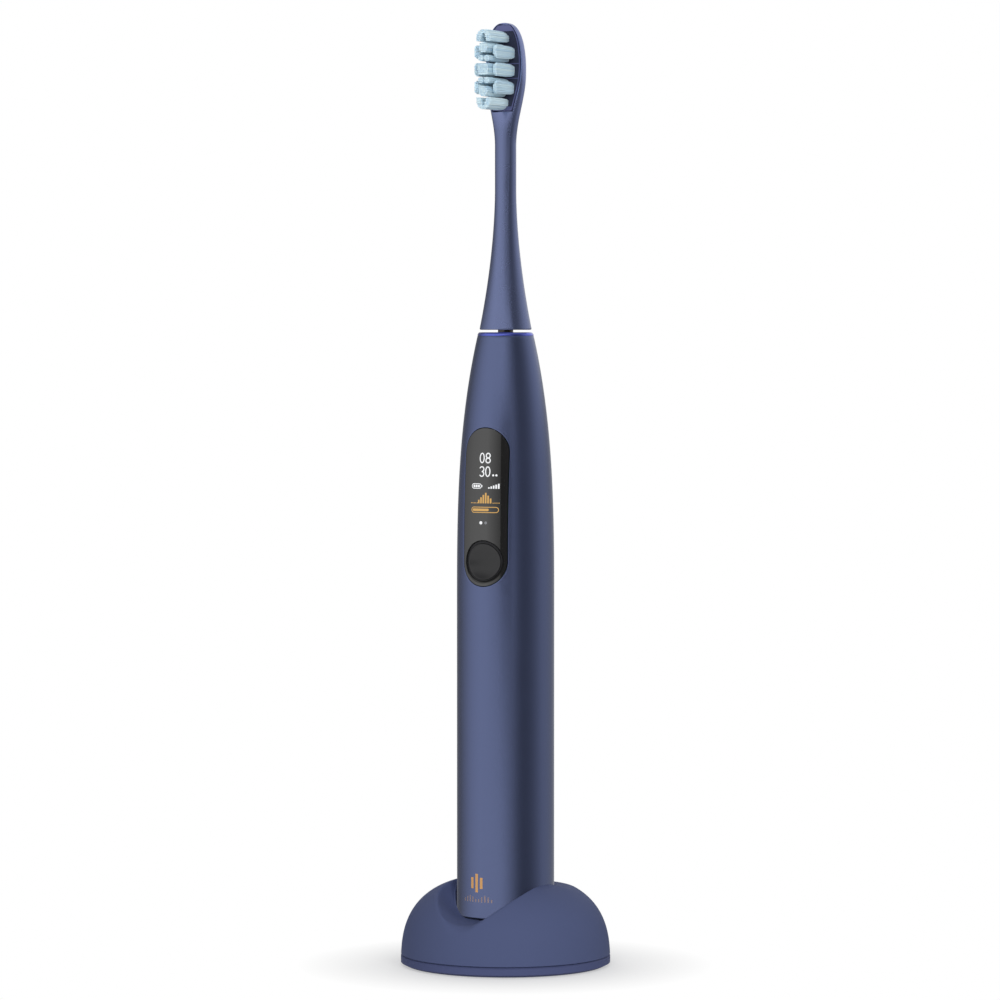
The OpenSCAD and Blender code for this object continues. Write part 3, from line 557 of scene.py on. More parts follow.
def make_finishes():
    """One material for every slot of the record, by the slot's name."""
    return {
        "shell": finish("satin_blue", BODY_BLUE, 0.25, metallic=0.85, mottle=0.02, uneven=0.02,
                        specular=0.2),
        "cover": finish("satin_blue_dock", (81, 90, 125), 0.6, mottle=0.02, specular=0.06),
        "head": head_blue_painted_light(),
        "plate_land": finish("satin_blue_land", (98, 102, 144), 0.35, metallic=0.6, mottle=0.03,
                             specular=0.2),
        # The field's dark blue is painted shade, standing in for the shade between the tufts.
        "head_face": finish("painted_shade_blue_field", (46, 50, 68), 0.5, metallic=0.2, mottle=0.06,
                            specular=0.2),
        "plate": finish("dark_blue_plate", (78, 85, 121), 0.6, mottle=0.03, specular=0.04),
        "cap": finish("satin_blue_cap", BODY_BLUE, 0.45, metallic=0.3, mottle=0.03),
        "foot": finish("soft_rubber", (44, 46, 56), 0.85, mottle=0.1, grain=0.5, grain_deep=0.03),
        "seal": finish("seal_rubber", (30, 30, 33), 0.7, mottle=0.1),
        "grommet": finish("grommet_rubber", (40, 44, 62), 0.7, mottle=0.08),
        "nose": finish("bright_blue_trim", (94, 106, 205), 0.16, metallic=0.9, mottle=0.02,
                       coat=0.4),
        "window": finish("smoked_glass", (34, 34, 34), 0.06, uneven=0.01, grain=0.0, specular=1.0),
        "button": finish("button_black", (24, 24, 26), 0.3, uneven=0.02),
        "display": finish("display_black", (14, 14, 17), 0.2, mottle=0.1, uneven=0.02),
        "steel": finish("screw_steel", (190, 192, 196), 0.3, metallic=1.0, draw=BRUSHED),
        "shaft": finish("ground_steel", (104, 100, 102), 0.3, metallic=1.0, draw=(1, 1, 30)),
        "can": finish("drawn_steel", (178, 180, 184), 0.32, metallic=1.0, draw=(1, 1, 25)),
        "magnet": finish("nickel_plate", (150, 152, 158), 0.3, metallic=1.0),
        "bearing": finish("sintered_bronze", (186, 142, 78), 0.5, metallic=1.0, grain=0.4),
        "anchor": finish("brass_anchor", (206, 170, 96), 0.3, metallic=1.0),
        "winding": finish("enamelled_copper", (184, 104, 52), 0.3, metallic=0.9, draw=(1, 1, 20)),
        "ferrite": finish("ferrite", (52, 52, 55), 0.6, mottle=0.15, grain=0.5),
        "bobbin": finish("bobbin_nylon", (216, 213, 200), 0.5),
        "frame": finish("frame_nylon", (124, 124, 130), 0.55, mottle=0.08, grain=0.35),
        "cell": finish("cell_sleeve", (52, 112, 88), 0.35, mottle=0.04),
        "board": finish("solder_mask", (22, 84, 46), 0.35, mottle=0.18, mottle_mm=1.2),
        "chips": finish("chip_epoxy", (30, 30, 32), 0.6, mottle=0.2, mottle_mm=0.8, grain=0.4),
        "bristle": nylon(),
    }


# ---- camera and studio ----

VIEW_AZIMUTH = math.radians(28)
VIEW_DISTANCE = 1280.0
VIEW_HEIGHT = 182.5
VIEW_DOWN = math.radians(2.1655)
VIEW_ASIDE = math.radians(0.072)
VIEW_LENS = 160.36
FILL = 0.27
FLOOR_FADE = (0.032, 0.06)
FLOOR_WHITE = 0.45
LAMP_AWAY = 0.9

# Degrees to the right of the camera, degrees up, width and height in metres, and watts
LAMPS = {
    "front_light": (6, 16, 0.8, 0.6, 6.8),
    "left_light": (-86, 14, 0.7, 0.7, 0.7),
    "right_light": (120, 14, 0.7, 0.7, 1.4),
    "top_light": (-20, 75, 0.7, 0.7, 0.15),
    "back_light": (190, 20, 0.9, 0.7, 3.0),
}

# Degrees to the right of the camera, and how dark a card is there
WALL_COVER = [(-180, 0.6), (-150, 0.8), (-131, 0.74), (-108, 0.4), (-90, 0.16), (-74, 0.04),
              (-60, 0.0), (-22, 0.0), (-10, 0.02), (2, 0.22), (14, 0.52), (26, 0.8), (38, 0.92),
              (54, 0.89), (66, 0.8), (80, 0.64), (94, 0.46), (113, 0.46), (140, 0.6), (165, 0.5),
              (180, 0.4)]
HIGH_COVER = WALL_COVER[:-6] + [(80, 0.6), (94, 0.36), (113, 0.16), (140, 0.08), (180, 0.1)]
ROOF_COVER = [(-180, 0.6), (180, 0.6)]
WINDOW_COVER = [(-47, 0.0), (-12.2, 0.68), (-12, 1.0), (14, 1.0)]
CARD_STEP = 3.0
CARD_R = 900
WALL_TOP = 240


def make_camera():
    camera = bpy.data.cameras.new("camera")
    camera.lens = VIEW_LENS
    camera.sensor_width = 36
    camera.clip_start = 0.01
    holder = put("camera", camera)
    holder.location = turned_row(VIEW_DISTANCE, VIEW_HEIGHT, np.array([VIEW_AZIMUTH]))[0] * MM
    holder.rotation_euler = (math.pi / 2 - VIEW_DOWN, 0, VIEW_AZIMUTH + VIEW_ASIDE)
    bpy.context.scene.camera = holder


def soft_box(name, aside, up, wide, high, watts):
    """A wide lamp that faces the middle of the object and shades it without a hard highlight on
    its satin skin."""
    lamp = bpy.data.lights.new(name, "AREA")
    lamp.shape = "RECTANGLE"
    lamp.size = wide
    lamp.size_y = high
    lamp.energy = watts
    azimuth, lift = VIEW_AZIMUTH + math.radians(aside), math.radians(up)
    level = LAMP_AWAY * math.cos(lift)
    middle = (CAD_BOX[0][2] + CAD_BOX[1][2]) / 2
    holder = put(name, lamp)
    holder.visible_glossy = False
    holder.location = (level * math.sin(azimuth), -level * math.cos(azimuth),
                       middle + LAMP_AWAY * math.sin(lift))
    holder.rotation_euler = (math.pi / 2 - lift, 0, azimuth)


def white_strength(tree):
    """Full white where the camera, gloss or glass sees it, and the fill where it only lights."""
    path = add(tree, "ShaderNodeLightPath", {})
    seen = path.outputs["Is Camera Ray"]
    for kind in ("Is Glossy Ray", "Is Transmission Ray"):
        seen = add(tree, "ShaderNodeMath", {0: seen, 1: path.outputs[kind]}, operation="MAXIMUM")
    return map_range(tree, seen, 0, 1, FILL, 1)


def make_world():
    """White for the camera, for gloss and through glass, and a soft fill for the rest."""
    world = bpy.data.worlds.new("studio")
    world.use_nodes = True
    tree = world.node_tree
    feed(tree, tree.nodes["Background"], {"Color": (1, 1, 1, 1), "Strength": white_strength(tree)})
    bpy.context.scene.world = world


def floor_material():
    """Pale matt floor that fades into the white background away from the object."""
    material, tree = new_material("pale_floor")
    matt = set_shader(tree, {
        "Base Color": (0.92, 0.92, 0.92, 1), "Roughness": 0.9, "Specular IOR Level": 0.1})
    away = add(tree, "ShaderNodeVectorMath", {0: object_place(tree)}, operation="LENGTH")
    fade = map_range(tree, away.outputs["Value"], *FLOOR_FADE, FLOOR_WHITE, 1)
    white = add(tree, "ShaderNodeEmission", {"Strength": white_strength(tree)})
    blend_surface(tree, fade, matt, white)
    return material


def make_floor():
    """A wide round floor at the height that the foot pad stands on."""
    skin = Skin()
    ids = [skin.row(circle_row(r, 0, 96)) for r in (60, 200, 4000)]
    skin.cap(ids[0])
    for inner, outer in zip(ids, ids[1:]):
        skin.join(outer, inner)
    floor = make("floor", skin, closed=False)
    floor.data.materials.append(floor_material())


def card_material(name):
    """Black cloth, as thick as the card's own cover value says."""
    material, tree = new_material(name)
    black = set_shader(tree, {
        "Base Color": (0.004, 0.004, 0.004, 1), "Roughness": 1, "Specular IOR Level": 0})
    clear = add(tree, "ShaderNodeBsdfTransparent", {})
    blend_surface(tree, attribute(tree, "cover"), clear, black)
    return material


def dark_card(name, covers, profile):
    """A curved dark card round the object that only gloss sees, with a profile of radii and
    heights."""
    skin = Skin()
    at, dark = np.array(covers).T
    turns = np.unique(np.concatenate([np.arange(at[0], at[-1], CARD_STEP), at]))
    around = VIEW_AZIMUTH + np.radians(turns)
    skin.chain([turned_row(radius, z, around) for radius, z in profile], closed=False)
    card = make(name, skin, closed=False)
    add_layer(card.data, "cover", np.tile(np.interp(turns, at, dark), len(profile)))
    card.data.materials.append(card_material(name))
    for rays in ("camera", "diffuse", "shadow", "transmission"):
        setattr(card, "visible_" + rays, False)


def make_studio():
    make_world()
    make_floor()
    for name, settings in LAMPS.items():
        soft_box(name, *settings)
    dark_card("wall_card", WALL_COVER, [(36, 0.6), (CARD_R, 0.6), (CARD_R, WALL_TOP)])
    dark_card("high_wall_card", HIGH_COVER, [(CARD_R, WALL_TOP), (CARD_R, CARD_R)])
    dark_card("roof_card", ROOF_COVER, [(CARD_R, CARD_R), (20, CARD_R)])
    dark_card("window_card", WINDOW_COVER, [(880, 45), (880, 330)])
    bpy.context.scene.view_settings.view_transform = "Standard"


# ---- charging dock ----


def scoop_height(x, forward):
    """Height of the scoop in front of the handle, which fades out behind the axis."""
    level = SCOOP_FLOOR - LIP_DROP * (np.maximum(0, forward - LIP_START) / LIP_L) ** 2
    right = ease(x / SCOOP_RIGHT_OVER)
    half = mix(SCOOP_HALF, SCOOP_HALF_RIGHT, right)
    opening = ease((forward - SCOOP_OPEN_FROM) / SCOOP_FADE)
    power = mix(mix(SCOOP_SQUARE, SCOOP_SQUARE_RIGHT, right), SCOOP_OPEN, opening)
    deep = DOME_H * (1 - (SOCKET_R / DOCK_R) ** DOME_POWER) ** (1 / DOME_POWER) - SCOOP_FLOOR
    behind = SCOOP_BACK_RISE * ease((SCOOP_BACK - forward) / SCOOP_FADE)
    return level + deep * (np.abs(x) / half) ** power + behind


def cover_height(radius, dome_z, turn):
    """Height of the dock's top at a radius and a turn from the front."""
    x, forward = radius * np.sin(turn), radius * np.cos(turn)
    behind = SHOULDER_DROP * ease((SHOULDER_BACK - forward) / SHOULDER_FADE)
    left = ease((SHOULDER_LEFT - x) / SHOULDER_FADE)
    shoulder = mix(SHOULDER_Z - behind, SHOULDER_Z + SHOULDER_RISE, left)
    return soft_min(soft_min(dome_z, shoulder, SHOULDER_SOFT), scoop_height(x, forward), CREST_SOFT)


def dome_point(t, inset=0.0):
    """Radius and height of the dome at a parameter from its foot, 0, to its top, a quarter turn."""
    power = 2 / DOME_POWER
    return (DOCK_R - inset) * math.cos(t) ** power, (DOME_H - inset) * math.sin(t) ** power


def cover_profile(turn):
    """Radii and heights of the dock's upper shell: its inside from the middle out to its foot, then
    its outside from the seam over the dome and down the socket to the floor."""
    foot = math.asin(((PLATE_TOP + SEAM_HALF) / DOME_H) ** (DOME_POWER / 2))
    rim = math.acos(((SOCKET_R + RIM_ROUND) / DOCK_R) ** (DOME_POWER / 2))
    path = [mix(foot, rim, i / COVER_ROWS) for i in range(COVER_ROWS + 1)]
    outside = [(radius, cover_height(radius, z, turn)) for radius, z in map(dome_point, path)]
    edge = outside[-1][1]
    inside = [(DOCK_R - DOCK_WALL, PLATE_TOP)]
    for t in path[5::5]:
        under, low = dome_point(t, DOCK_WALL)
        sunk = cover_height(*dome_point(t), turn) - DOCK_WALL
        inside.append((max(under, SOCKET_R + SOCKET_WALL), np.minimum(low, sunk)))
    floor_under = np.minimum(SOCKET_FLOOR - FLOOR_T, inside[-1][1])
    inside += [(SOCKET_R + SOCKET_WALL, floor_under), (SOCKET_R * 0.5, floor_under)]
    floor = np.minimum(SOCKET_FLOOR, edge)
    lip = np.minimum(RIM_ROUND, (edge - floor) / 2)
    for a in np.radians([18, 36, 54, 72, 90]):
        outside.append((SOCKET_R + RIM_ROUND * (1 - math.sin(a)), edge - lip * (1 - math.cos(a))))
    outside += [(SOCKET_R, mix(edge - lip, floor, 0.5)), (SOCKET_R, floor),
                (SOCKET_R - 2, mix(floor, SOCKET_FLOOR, 0.5)), (SOCKET_R - 5, SOCKET_FLOOR)]
    return inside[::-1] + [(DOCK_R - SEAM_DEEP, PLATE_TOP)] + outside


def dock_cover():
    """The dock's upper shell: seam bevel, dome with its scoop, rounded rim, socket and inside, and
    the hole in its back for the cable."""
    profile = cover_profile(full_turn(COVER_COLUMNS))
    cover = make("dock_cover_shell", solid([circle_row(r, z, COVER_COLUMNS) for r, z in profile]))
    drill = make("inlet_drill", solid([circle_row(INLET_BODY_R, z, 64) for z in (0, DRILL_L)]))
    back = Matrix.Translation((0, (DOCK_R - INLET_DEEP) * MM, INLET_Z * MM))
    drill.data.transform(back @ Matrix.Rotation(-math.pi / 2, 4, "X"))
    cut(cover, drill)
    dress(cover, "dock", "cover", "dock_cover")
    cover.visible_glossy = False


# ---- handle ----


def handle_rad(z):
    """Radius of the handle's outside at a height over its bottom."""
    along = np.maximum(0, np.asarray(z, float) - TAPER_Z) / (RING_TOP - TAPER_Z)
    return HANDLE_R - (HANDLE_R - NOSE_R) * along ** TAPER_POWER


def on_front(x, z, inset=0.0):
    """Points of the handle's front surface at x and heights over its bottom."""
    x, z = np.asarray(x, float), np.asarray(z, float)
    return np.stack([x, -np.sqrt((handle_rad(z) - inset) ** 2 - x ** 2), z + HANDLE_Z], axis=-1)


def near_window(x, z, half):
    """The points of the window's outline that are nearest to places outside it."""
    spine = np.clip(z, PANEL_Z + PANEL_HALF, PANEL_END - PANEL_HALF)
    reach = np.hypot(x, z - spine)
    return half * x / reach, spine + half * (z - spine) / reach


def handle_rows():
    """Radii and heights of the rows of the handle's skin from its bottom to its nose."""
    foot = HANDLE_R - BOTTOM_ROUND
    rows = [(foot - BOTTOM_LAND, 0), (foot, 0)]
    for a in np.radians(np.arange(9, 91, 9)):
        rows.append((HANDLE_R - BOTTOM_ROUND * (1 - math.sin(a)), BOTTOM_ROUND * (1 - math.cos(a))))
    for low, high, steps in ((BOTTOM_ROUND, HOLE_LOW, 19), (HOLE_LOW, HOLE_HIGH, HOLE_ROWS),
                             (HOLE_HIGH, RING_LOW, 23)):
        rows += [(float(handle_rad(z)), z) for z in np.linspace(low, high, steps + 1)[1:]]
    return rows + [(SEAL_R, RING_LOW)]


def handle_shell():
    """The handle's tube with its taper and the opening for the window."""
    skin = Skin()
    rows = handle_rows()
    ids = [skin.row(circle_row(r, z + HANDLE_Z, HANDLE_COLUMNS)) for r, z in rows]
    first = next(i for i, row in enumerate(rows) if abs(row[1] - HOLE_LOW) < 1e-6)
    last = first + HOLE_ROWS
    for i in range(len(ids) - 1):
        for j in range(HANDLE_COLUMNS):
            k = (j + 1) % HANDLE_COLUMNS
            in_hole = first <= i < last and (j < HOLE_COLUMNS or j >= HANDLE_COLUMNS - HOLE_COLUMNS)
            if not in_hole:
                skin.faces.append((ids[i][j], ids[i][k], ids[i + 1][k], ids[i + 1][j]))
    across = [j % HANDLE_COLUMNS for j in range(-HOLE_COLUMNS, HOLE_COLUMNS + 1)]
    loop = [ids[first][j] for j in across]
    loop += [ids[i][across[-1]] for i in range(first + 1, last)]
    loop += [ids[last][j] for j in reversed(across)]
    loop += [ids[i][across[0]] for i in range(last - 1, first, -1)]
    edge = np.array([skin.points[i] for i in loop])
    x, z = edge[:, 0], edge[:, 2] - HANDLE_Z
    near_x, near_z = near_window(x, z, PANEL_HALF + PANEL_GAP)
    skin.chain([on_front(mix(x, near_x, t), mix(z, near_z, t)) for t in HOLE_STEPS], loop)
    shell = make("handle_tube", skin, closed=False)
    thicken(shell, SHELL_WALL, SHELL_EDGE)
    dress(shell, "handle", "shell", "handle_shell")


def nose_ring():
    """The bright trim ring with its chamfer at the handle's nose."""
    low, high = RING_LOW, RING_TOP
    edge = float(handle_rad(low)) - 0.02
    profile = [(SEAL_R, low), (edge, low), (edge, low + RING_WALL_H - 0.04)]
    for a in np.radians([20, 45, 70, 90]):
        profile.append((edge - 0.12 - RING_ROUND * (1 - math.cos(a)),
                        low + RING_WALL_H + (high - low - RING_WALL_H) * math.sin(a)))
    profile += [(SEAL_R + 0.1, high), (SEAL_R, high - 0.1)]
    ring = solid([circle_row(r, z + HANDLE_Z, 160) for r, z in profile], "joined")
    dress(make("nose_trim", ring), "handle", "nose", "nose_ring")


def window_outline():
    """The window's lower end from its right side at the seam, along the seam and round below."""
    count = WINDOW_COLUMNS
    points = [(x, WINDOW_SEAM) for x in np.linspace(PANEL_HALF, -PANEL_HALF, 2 * count + 1)]
    points += [(-PANEL_HALF, z) for z in np.linspace(WINDOW_SEAM, BUTTON_Z, count + 1)[1:]]
    for a in np.linspace(0, math.pi, WINDOW_FOOT + 1)[1:]:
        points.append((-PANEL_HALF * math.cos(a), BUTTON_Z - PANEL_HALF * math.sin(a)))
    points += [(PANEL_HALF, z) for z in np.linspace(BUTTON_Z, WINDOW_SEAM, count + 1)[1:-1]]
    return np.array(points)


def button_row(across, up, radius, deep=0.0, inset=0.0):
    """A ring round the button's middle, from directions and a radius, set back from the front."""
    points = on_front(across * radius, BUTTON_Z + up * radius, inset)
    points[:, 1] += deep
    return points


# Directions across and up of the points round the button
ROUND = (np.sin(full_turn(BUTTON_COLUMNS)), np.cos(full_turn(BUTTON_COLUMNS)))


def well_foot(across, up):
    """Radius of the foot of the well's wall, which stands steep at the upper left."""
    lean = np.cos(np.arctan2(up, across) - WELL_STEEP)
    return mix(BUTTON_HOLE_R + 0.14, BEZEL_R - 0.16, (1 + lean) / 2)


def window_top(skin, seam):
    """Fills the window from its seam to its round upper end."""
    centre = PANEL_END - PANEL_HALF
    levels = list(np.linspace(WINDOW_SEAM, centre, 16)[1:])
    levels += [centre + PANEL_HALF * math.sin(a) for a in np.linspace(0, math.pi / 2, 16)[1:-1]]
    for z in levels:
        half = math.sqrt(PANEL_HALF ** 2 - max(0, z - centre) ** 2)
        row = skin.row(on_front(np.linspace(half, -half, len(seam)), np.full(len(seam), z)))
        skin.join(row, seam, closed=False)
        seam = row
    tip = skin.row(on_front([0], [PANEL_END]))[0]
    skin.faces += [(tip, b, a) for a, b in zip(seam, seam[1:])]


def display_window():
    """The smoked window that follows the handle, with the bevelled well round the button."""
    skin = Skin()
    outline = window_outline()
    reach = np.hypot(outline[:, 0], outline[:, 1] - BUTTON_Z)
    across, up = outline[:, 0] / reach, (outline[:, 1] - BUTTON_Z) / reach
    foot = well_foot(across, up)
    rings = [(mix(reach, BEZEL_R, t), 0) for t in (0.25, 0.5, 0.75, 0.9, 1.0)]
    rings += [(BEZEL_R - 0.05, 0.06), (foot, WELL_DEEP), (foot - 0.05, WELL_DEEP + 0.04),
              (BUTTON_HOLE_R, WELL_DEEP + 0.06)]
    outer = skin.row(on_front(*outline.T))
    skin.chain([button_row(across, up, radius, deep) for radius, deep in rings], outer)
    window_top(skin, outer[:2 * WINDOW_COLUMNS + 1])
    window = make("smoked_window", skin, closed=False)
    turn_faces(window.data, closed=False)
    thicken(window, PANEL_T, PANEL_EDGE)
    dress(window, "handle", "window", "display_window", crease=15)


def button_seal():
    """The soft dark ring on the floor of the well, round the button."""
    inner, outer = BUTTON_R + 0.06, well_foot(*ROUND) - 0.02
    rings = [(inner, 0.1), (inner, -0.1), (inner + 0.04, -0.14),
             (outer - 0.04, -0.14), (outer, -0.1), (outer, 0.1)]
    rows = [button_row(*ROUND, radius, WELL_DEEP + deep) for radius, deep in rings]
    dress(make("button_seal_ring", solid(rows, "joined")), "handle", "seal")


def power_button():
    """The round button, dished in the middle and following the handle at its rim."""
    rows = []
    for inset in (0.1, 0):
        back = button_row(*ROUND, BUTTON_R - inset)
        back[:, 1] = inset - BUTTON_BACK
        rows.append(back)
    rim = [(0, 0.45), (0, 0.2), (0.05, 0.08), (0.15, 0.02), (0.3, 0)]
    rings = [(BUTTON_R - inset, deep) for inset, deep in rim]
    rings += [(radius, 0) for radius in np.linspace(BUTTON_R - 0.5, 0.3, 22)]
    for radius, deep in rings:
        dish = DISH_DEEP * (1 - (radius / BUTTON_R) ** 2)
        rows.append(button_row(*ROUND, radius, deep + dish, BUTTON_DEEP))
    dress(make("button_disc", solid(rows)), "button", "button", "power_button")


# ---- marks on the display and the handle, with heights over the floor ----

NUMERAL_W = 1.65
NUMERAL_H = 3.05
NUMERAL_LINE = 0.32

# Each numeral's arcs: quarter heights up from its middle, quarter heights and share of its width
# that they reach, and the degrees where they start and end
ARCS = {
    "0": [(0, 2, 1, 0, 360)],
    "8": [(1, 1, 0.9, 0, 360), (-1, 1, 1, 0, 360)],
    "3": [(1, 1, 1, 160, -90), (-1, 1, 1, 90, -160)],
}


def on_handle(x, z):
    return on_front(x, np.asarray(z, float) - HANDLE_Z)


def bar(x0, x1, z0, z1, steps=1):
    """A flat strip between two corners, seen from the front."""
    skin = Skin()
    xs = np.linspace(x0, x1, steps + 1)
    skin.chain([on_handle(xs, np.full(len(xs), z)) for z in (z0, z1)], closed=False)
    return skin


def dot(x, z, radius, count=20):
    skin = Skin()
    turn = full_turn(count)
    skin.cap(skin.row(on_handle(x + radius * np.sin(turn), z - radius * np.cos(turn))))
    return skin


def resampled(path, closed, step=0.5):
    """The same path with its long runs divided, so that it follows the handle's curve."""
    ends = np.vstack([path, path[:1]]) if closed else path
    points = []
    for start, end in zip(ends, ends[1:]):
        parts = max(1, int(np.ceil(np.linalg.norm(end - start) / step)))
        points += [mix(start, end, i / parts) for i in range(parts)]
    if not closed:
        points.append(path[-1])
    return np.array(points)


def stroke(points, width, closed=False):
    """A line of even width along points seen from the front."""
    skin = Skin()
    path = resampled(np.array(points, float), closed)
    if closed:
        ahead, behind = np.roll(path, -1, axis=0), np.roll(path, 1, axis=0)
    else:
        ahead, behind = np.vstack([path[1:], path[-1:]]), np.vstack([path[:1], path[:-1]])
    run = ahead - behind
    run /= np.linalg.norm(run, axis=1)[:, None]
    side = np.stack([-run[:, 1], run[:, 0]], axis=1) * width / 2
    right = skin.row(on_handle(*(path - side).T))
    left = skin.row(on_handle(*(path + side).T))
    skin.join(right, left, closed=closed)
    return skin


def numeral(which, x, z):
    """A plain numeral of even strokes, with its middle at x, z."""
    half, quarter = (NUMERAL_W - NUMERAL_LINE) / 2, (NUMERAL_H - NUMERAL_LINE) / 4
    strokes = []
    for up, tall, wide, start, end in ARCS[which]:
        turn = np.radians(np.linspace(start, end, 17))
        xs, zs = x + half * wide * np.cos(turn), z + quarter * (up + tall * np.sin(turn))
        path = np.stack([xs, zs], axis=1)
        closed = end - start == 360
        strokes.append(stroke(path[:-1] if closed else path, NUMERAL_LINE, closed))
    return strokes


def pill(x0, x1, z0, z1, line=None):
    """A bar with round ends, filled, or only its outline with a line width."""
    r, middle = (z1 - z0) / 2, (z0 + z1) / 2
    turn = np.linspace(0, math.pi, 13)
    right = np.stack([x1 - r + r * np.sin(turn), middle - r * np.cos(turn)], axis=1)
    left = np.stack([x0 + r - r * np.sin(turn), middle + r * np.cos(turn)], axis=1)
    if line:
        return stroke(np.vstack([right, left]), line, closed=True)
    skin = Skin()
    rows = [on_handle(*np.linspace(a, b, 8).T) for a, b in zip(right, left[::-1])]
    skin.chain(rows, closed=False)
    return skin


def marks(name, skins, material, slot="display", lift=0.02):
    """Thin raised marks that follow the handle's front."""
    mark = make(name, joined(skins), closed=False)
    turn_faces(mark.data, closed=False)
    for vertex in mark.data.vertices:
        out = 1 + lift * MM / math.hypot(vertex.co.x, vertex.co.y)
        vertex.co.x *= out
        vertex.co.y *= out
    thicken(mark, lift + 0.02)
    dress(mark, "handle", slot, material=material)


def display_marks():
    """Two lines of numerals, small signs, a rising gauge, a progress pill and page dots."""
    white = glow("display_white", (236, 238, 240), 1.1)
    grey = glow("display_grey", (128, 130, 134), 0.95)
    amber = glow("display_amber", (214, 168, 92), 0.95)
    digits = []
    for z, line in ((146.5, "08"), (142.65, "30")):
        for x, which in zip((-0.65, 1.25), line):
            digits += numeral(which, x, z)
    marks("display_numerals", digits, white)
    small = [dot(x, 141.6, 0.3) for x in (2.9, 3.8)]
    small += [pill(-3.9, -0.7, 137.85, 139.15, 0.2), bar(-0.55, -0.35, 138.2, 138.8)]
    small += [bar(x, x + 0.62, 138.15, 138.85) for x in (-3.4, -2.6, -1.8)]
    small += [bar(1.5 + 0.7 * i, 1.95 + 0.7 * i, 137.8, 138.2 + 0.25 * i) for i in range(5)]
    small += [dot(-0.65, 128.05, 0.46)]
    marks("display_signs", small, white)
    marks("display_page_dot", [dot(0.9, 128.05, 0.42)], grey)
    gauge = [dot(x, 133.7, 0.16, 10) for x in np.arange(-4.1, 4.9, 0.55) if not -1.9 < x < 2.7]
    gauge += [bar(-1.7 + 0.75 * i, -1.2 + 0.75 * i, 133.6, 134.4 + h, 2)
              for i, h in enumerate((0.2, 0.9, 1.6, 2.2, 1.4, 0.6))]
    gauge += [pill(-3.9, 4.6, 131.0, 132.5, 0.22), pill(-3.5, 1.8, 131.4, 132.1)]
    marks("display_gauge", gauge, amber)


def lower_mark():
    """A small copper sign of three upright bars over a row of fine ticks, low on the handle."""
    copper = finish("copper_print", (214, 163, 104), 0.35, metallic=0.6, mottle=0.06, mottle_mm=1.0)
    dull = finish("pale_print", (158, 138, 136), 0.5, metallic=0.3, mottle=0.06, mottle_mm=1.0)
    x, middle = -2.0, 24.9
    bars = []
    for step, half in ((-1.55, 1.6), (0, 2.65), (1.55, 1.6)):
        path = [(x + step, z) for z in np.linspace(middle - half, middle + half, 9)]
        bars.append(stroke(path, 0.85))
    marks("copper_sign", bars, copper, "shell", 0.015)
    foot = middle - 5.45
    ticks = []
    for i, tall in enumerate((0.9, 1.5, 1.9, 1.5, 0.9) * 2):
        left = x - 4.6 + 1.02 * i
        ticks.append(bar(left, left + 0.38, foot, foot + tall, 3))
    marks("tick_row", ticks, dull, "shell", 0.012)


# ---- brush head ----


def neck_rad(z):
    return NECK_R + (COLLAR_R - NECK_R) * max(0, (NECK_Z - z) / NECK_Z) ** NECK_POWER


def head_blend(z):
    """0 on the round neck and 1 on the flat head."""
    return float(ease((z - BLEND_Z) / (BLEND_END - BLEND_Z)))


def tip_scale(z):
    """The share of its width that the head keeps towards its round tip."""
    if z <= HEAD_MID:
        return 1.0
    return max(0, 1 - ((z - HEAD_MID) / (HEAD_LEN - HEAD_MID)) ** TIP_ROUND) ** (1 / TIP_ROUND)


def half_width(z):
    spread = float(ease((z - SPREAD_Z) / (HEAD_MID - SPREAD_Z)))
    return mix(neck_rad(z), HEAD_HALF, spread) * tip_scale(z)


def crease_turn(z):
    """Turn from the front to the crease beside the head's flat face."""
    low = CREASE_LOW - CREASE_DIP * math.sin(math.pi * min(1, z / NECK_Z))
    return mix(low, CREASE, float(ease((z - CREASE_Z) / CREASE_OVER)))


def edge_x(z):
    return half_width(z) * math.sin(crease_turn(z)) ** mix(1, FACE_SQUARE, head_blend(z))


def edge_y(z):
    return mix(-neck_rad(z) * math.cos(crease_turn(z)), -FACE_Y, head_blend(z))


def face_y(x, z):
    """Y of the head's front face, which bulges a little on the neck."""
    sag = mix(NECK_SAG * neck_rad(z), FACE_SAG, head_blend(z))
    return edge_y(z) - sag * (1 - min(1, (x / max(edge_x(z), 1e-6)) ** 2))


def head_section(z):
    """The head's outline at a height: front face, right side, back and left side."""
    blend, turn, edge = head_blend(z), crease_turn(z), edge_y(z)
    width, middle = half_width(z), mix(0, WIDE_Y, blend)
    depth = mix(neck_rad(z), BACK_DEEP, blend) * tip_scale(z) ** TIP_THIN
    front_power, back_power = mix(1, FACE_SQUARE, blend), mix(1, BACK_SQUARE, blend)
    right = []
    for a in np.linspace(turn, math.pi / 2, 13):
        y = middle - (middle - edge) * math.cos(a) / math.cos(turn)
        right.append((width * math.sin(a) ** front_power, y))
    for a in np.linspace(math.pi / 2, math.pi, 22)[1:-1]:
        y = middle + depth * (-math.cos(a)) ** back_power
        right.append((width * math.sin(a) ** back_power, y))
    front = [(x, face_y(x, z)) for x in edge_x(z) * np.linspace(-1, 1, 25)[1:-1]]
    left = [(-x, y) for x, y in reversed(right)]
    return [(x, y, z + HEAD_Z) for x, y in front + right + [(0, middle + depth)] + left]


def head_levels():
    levels = [FOOT_Z, 0.5, *np.linspace(1, 12, 14), *np.linspace(13, SPREAD_Z, 30)]
    levels += list(np.linspace(SPREAD_Z, HEAD_MID, 34)[1:])
    turns = np.linspace(0, math.pi / 2, 40)[1:-1]
    levels += [HEAD_MID + (HEAD_LEN - HEAD_MID) * math.sin(a) for a in turns]
    return levels + [HEAD_LEN - 0.004]


def prism(outline, back, front):
    """A solid between two depths, with an outline seen from the front."""
    return solid([[(x, y, z + HEAD_Z) for x, z in outline] for y in (back, front)])


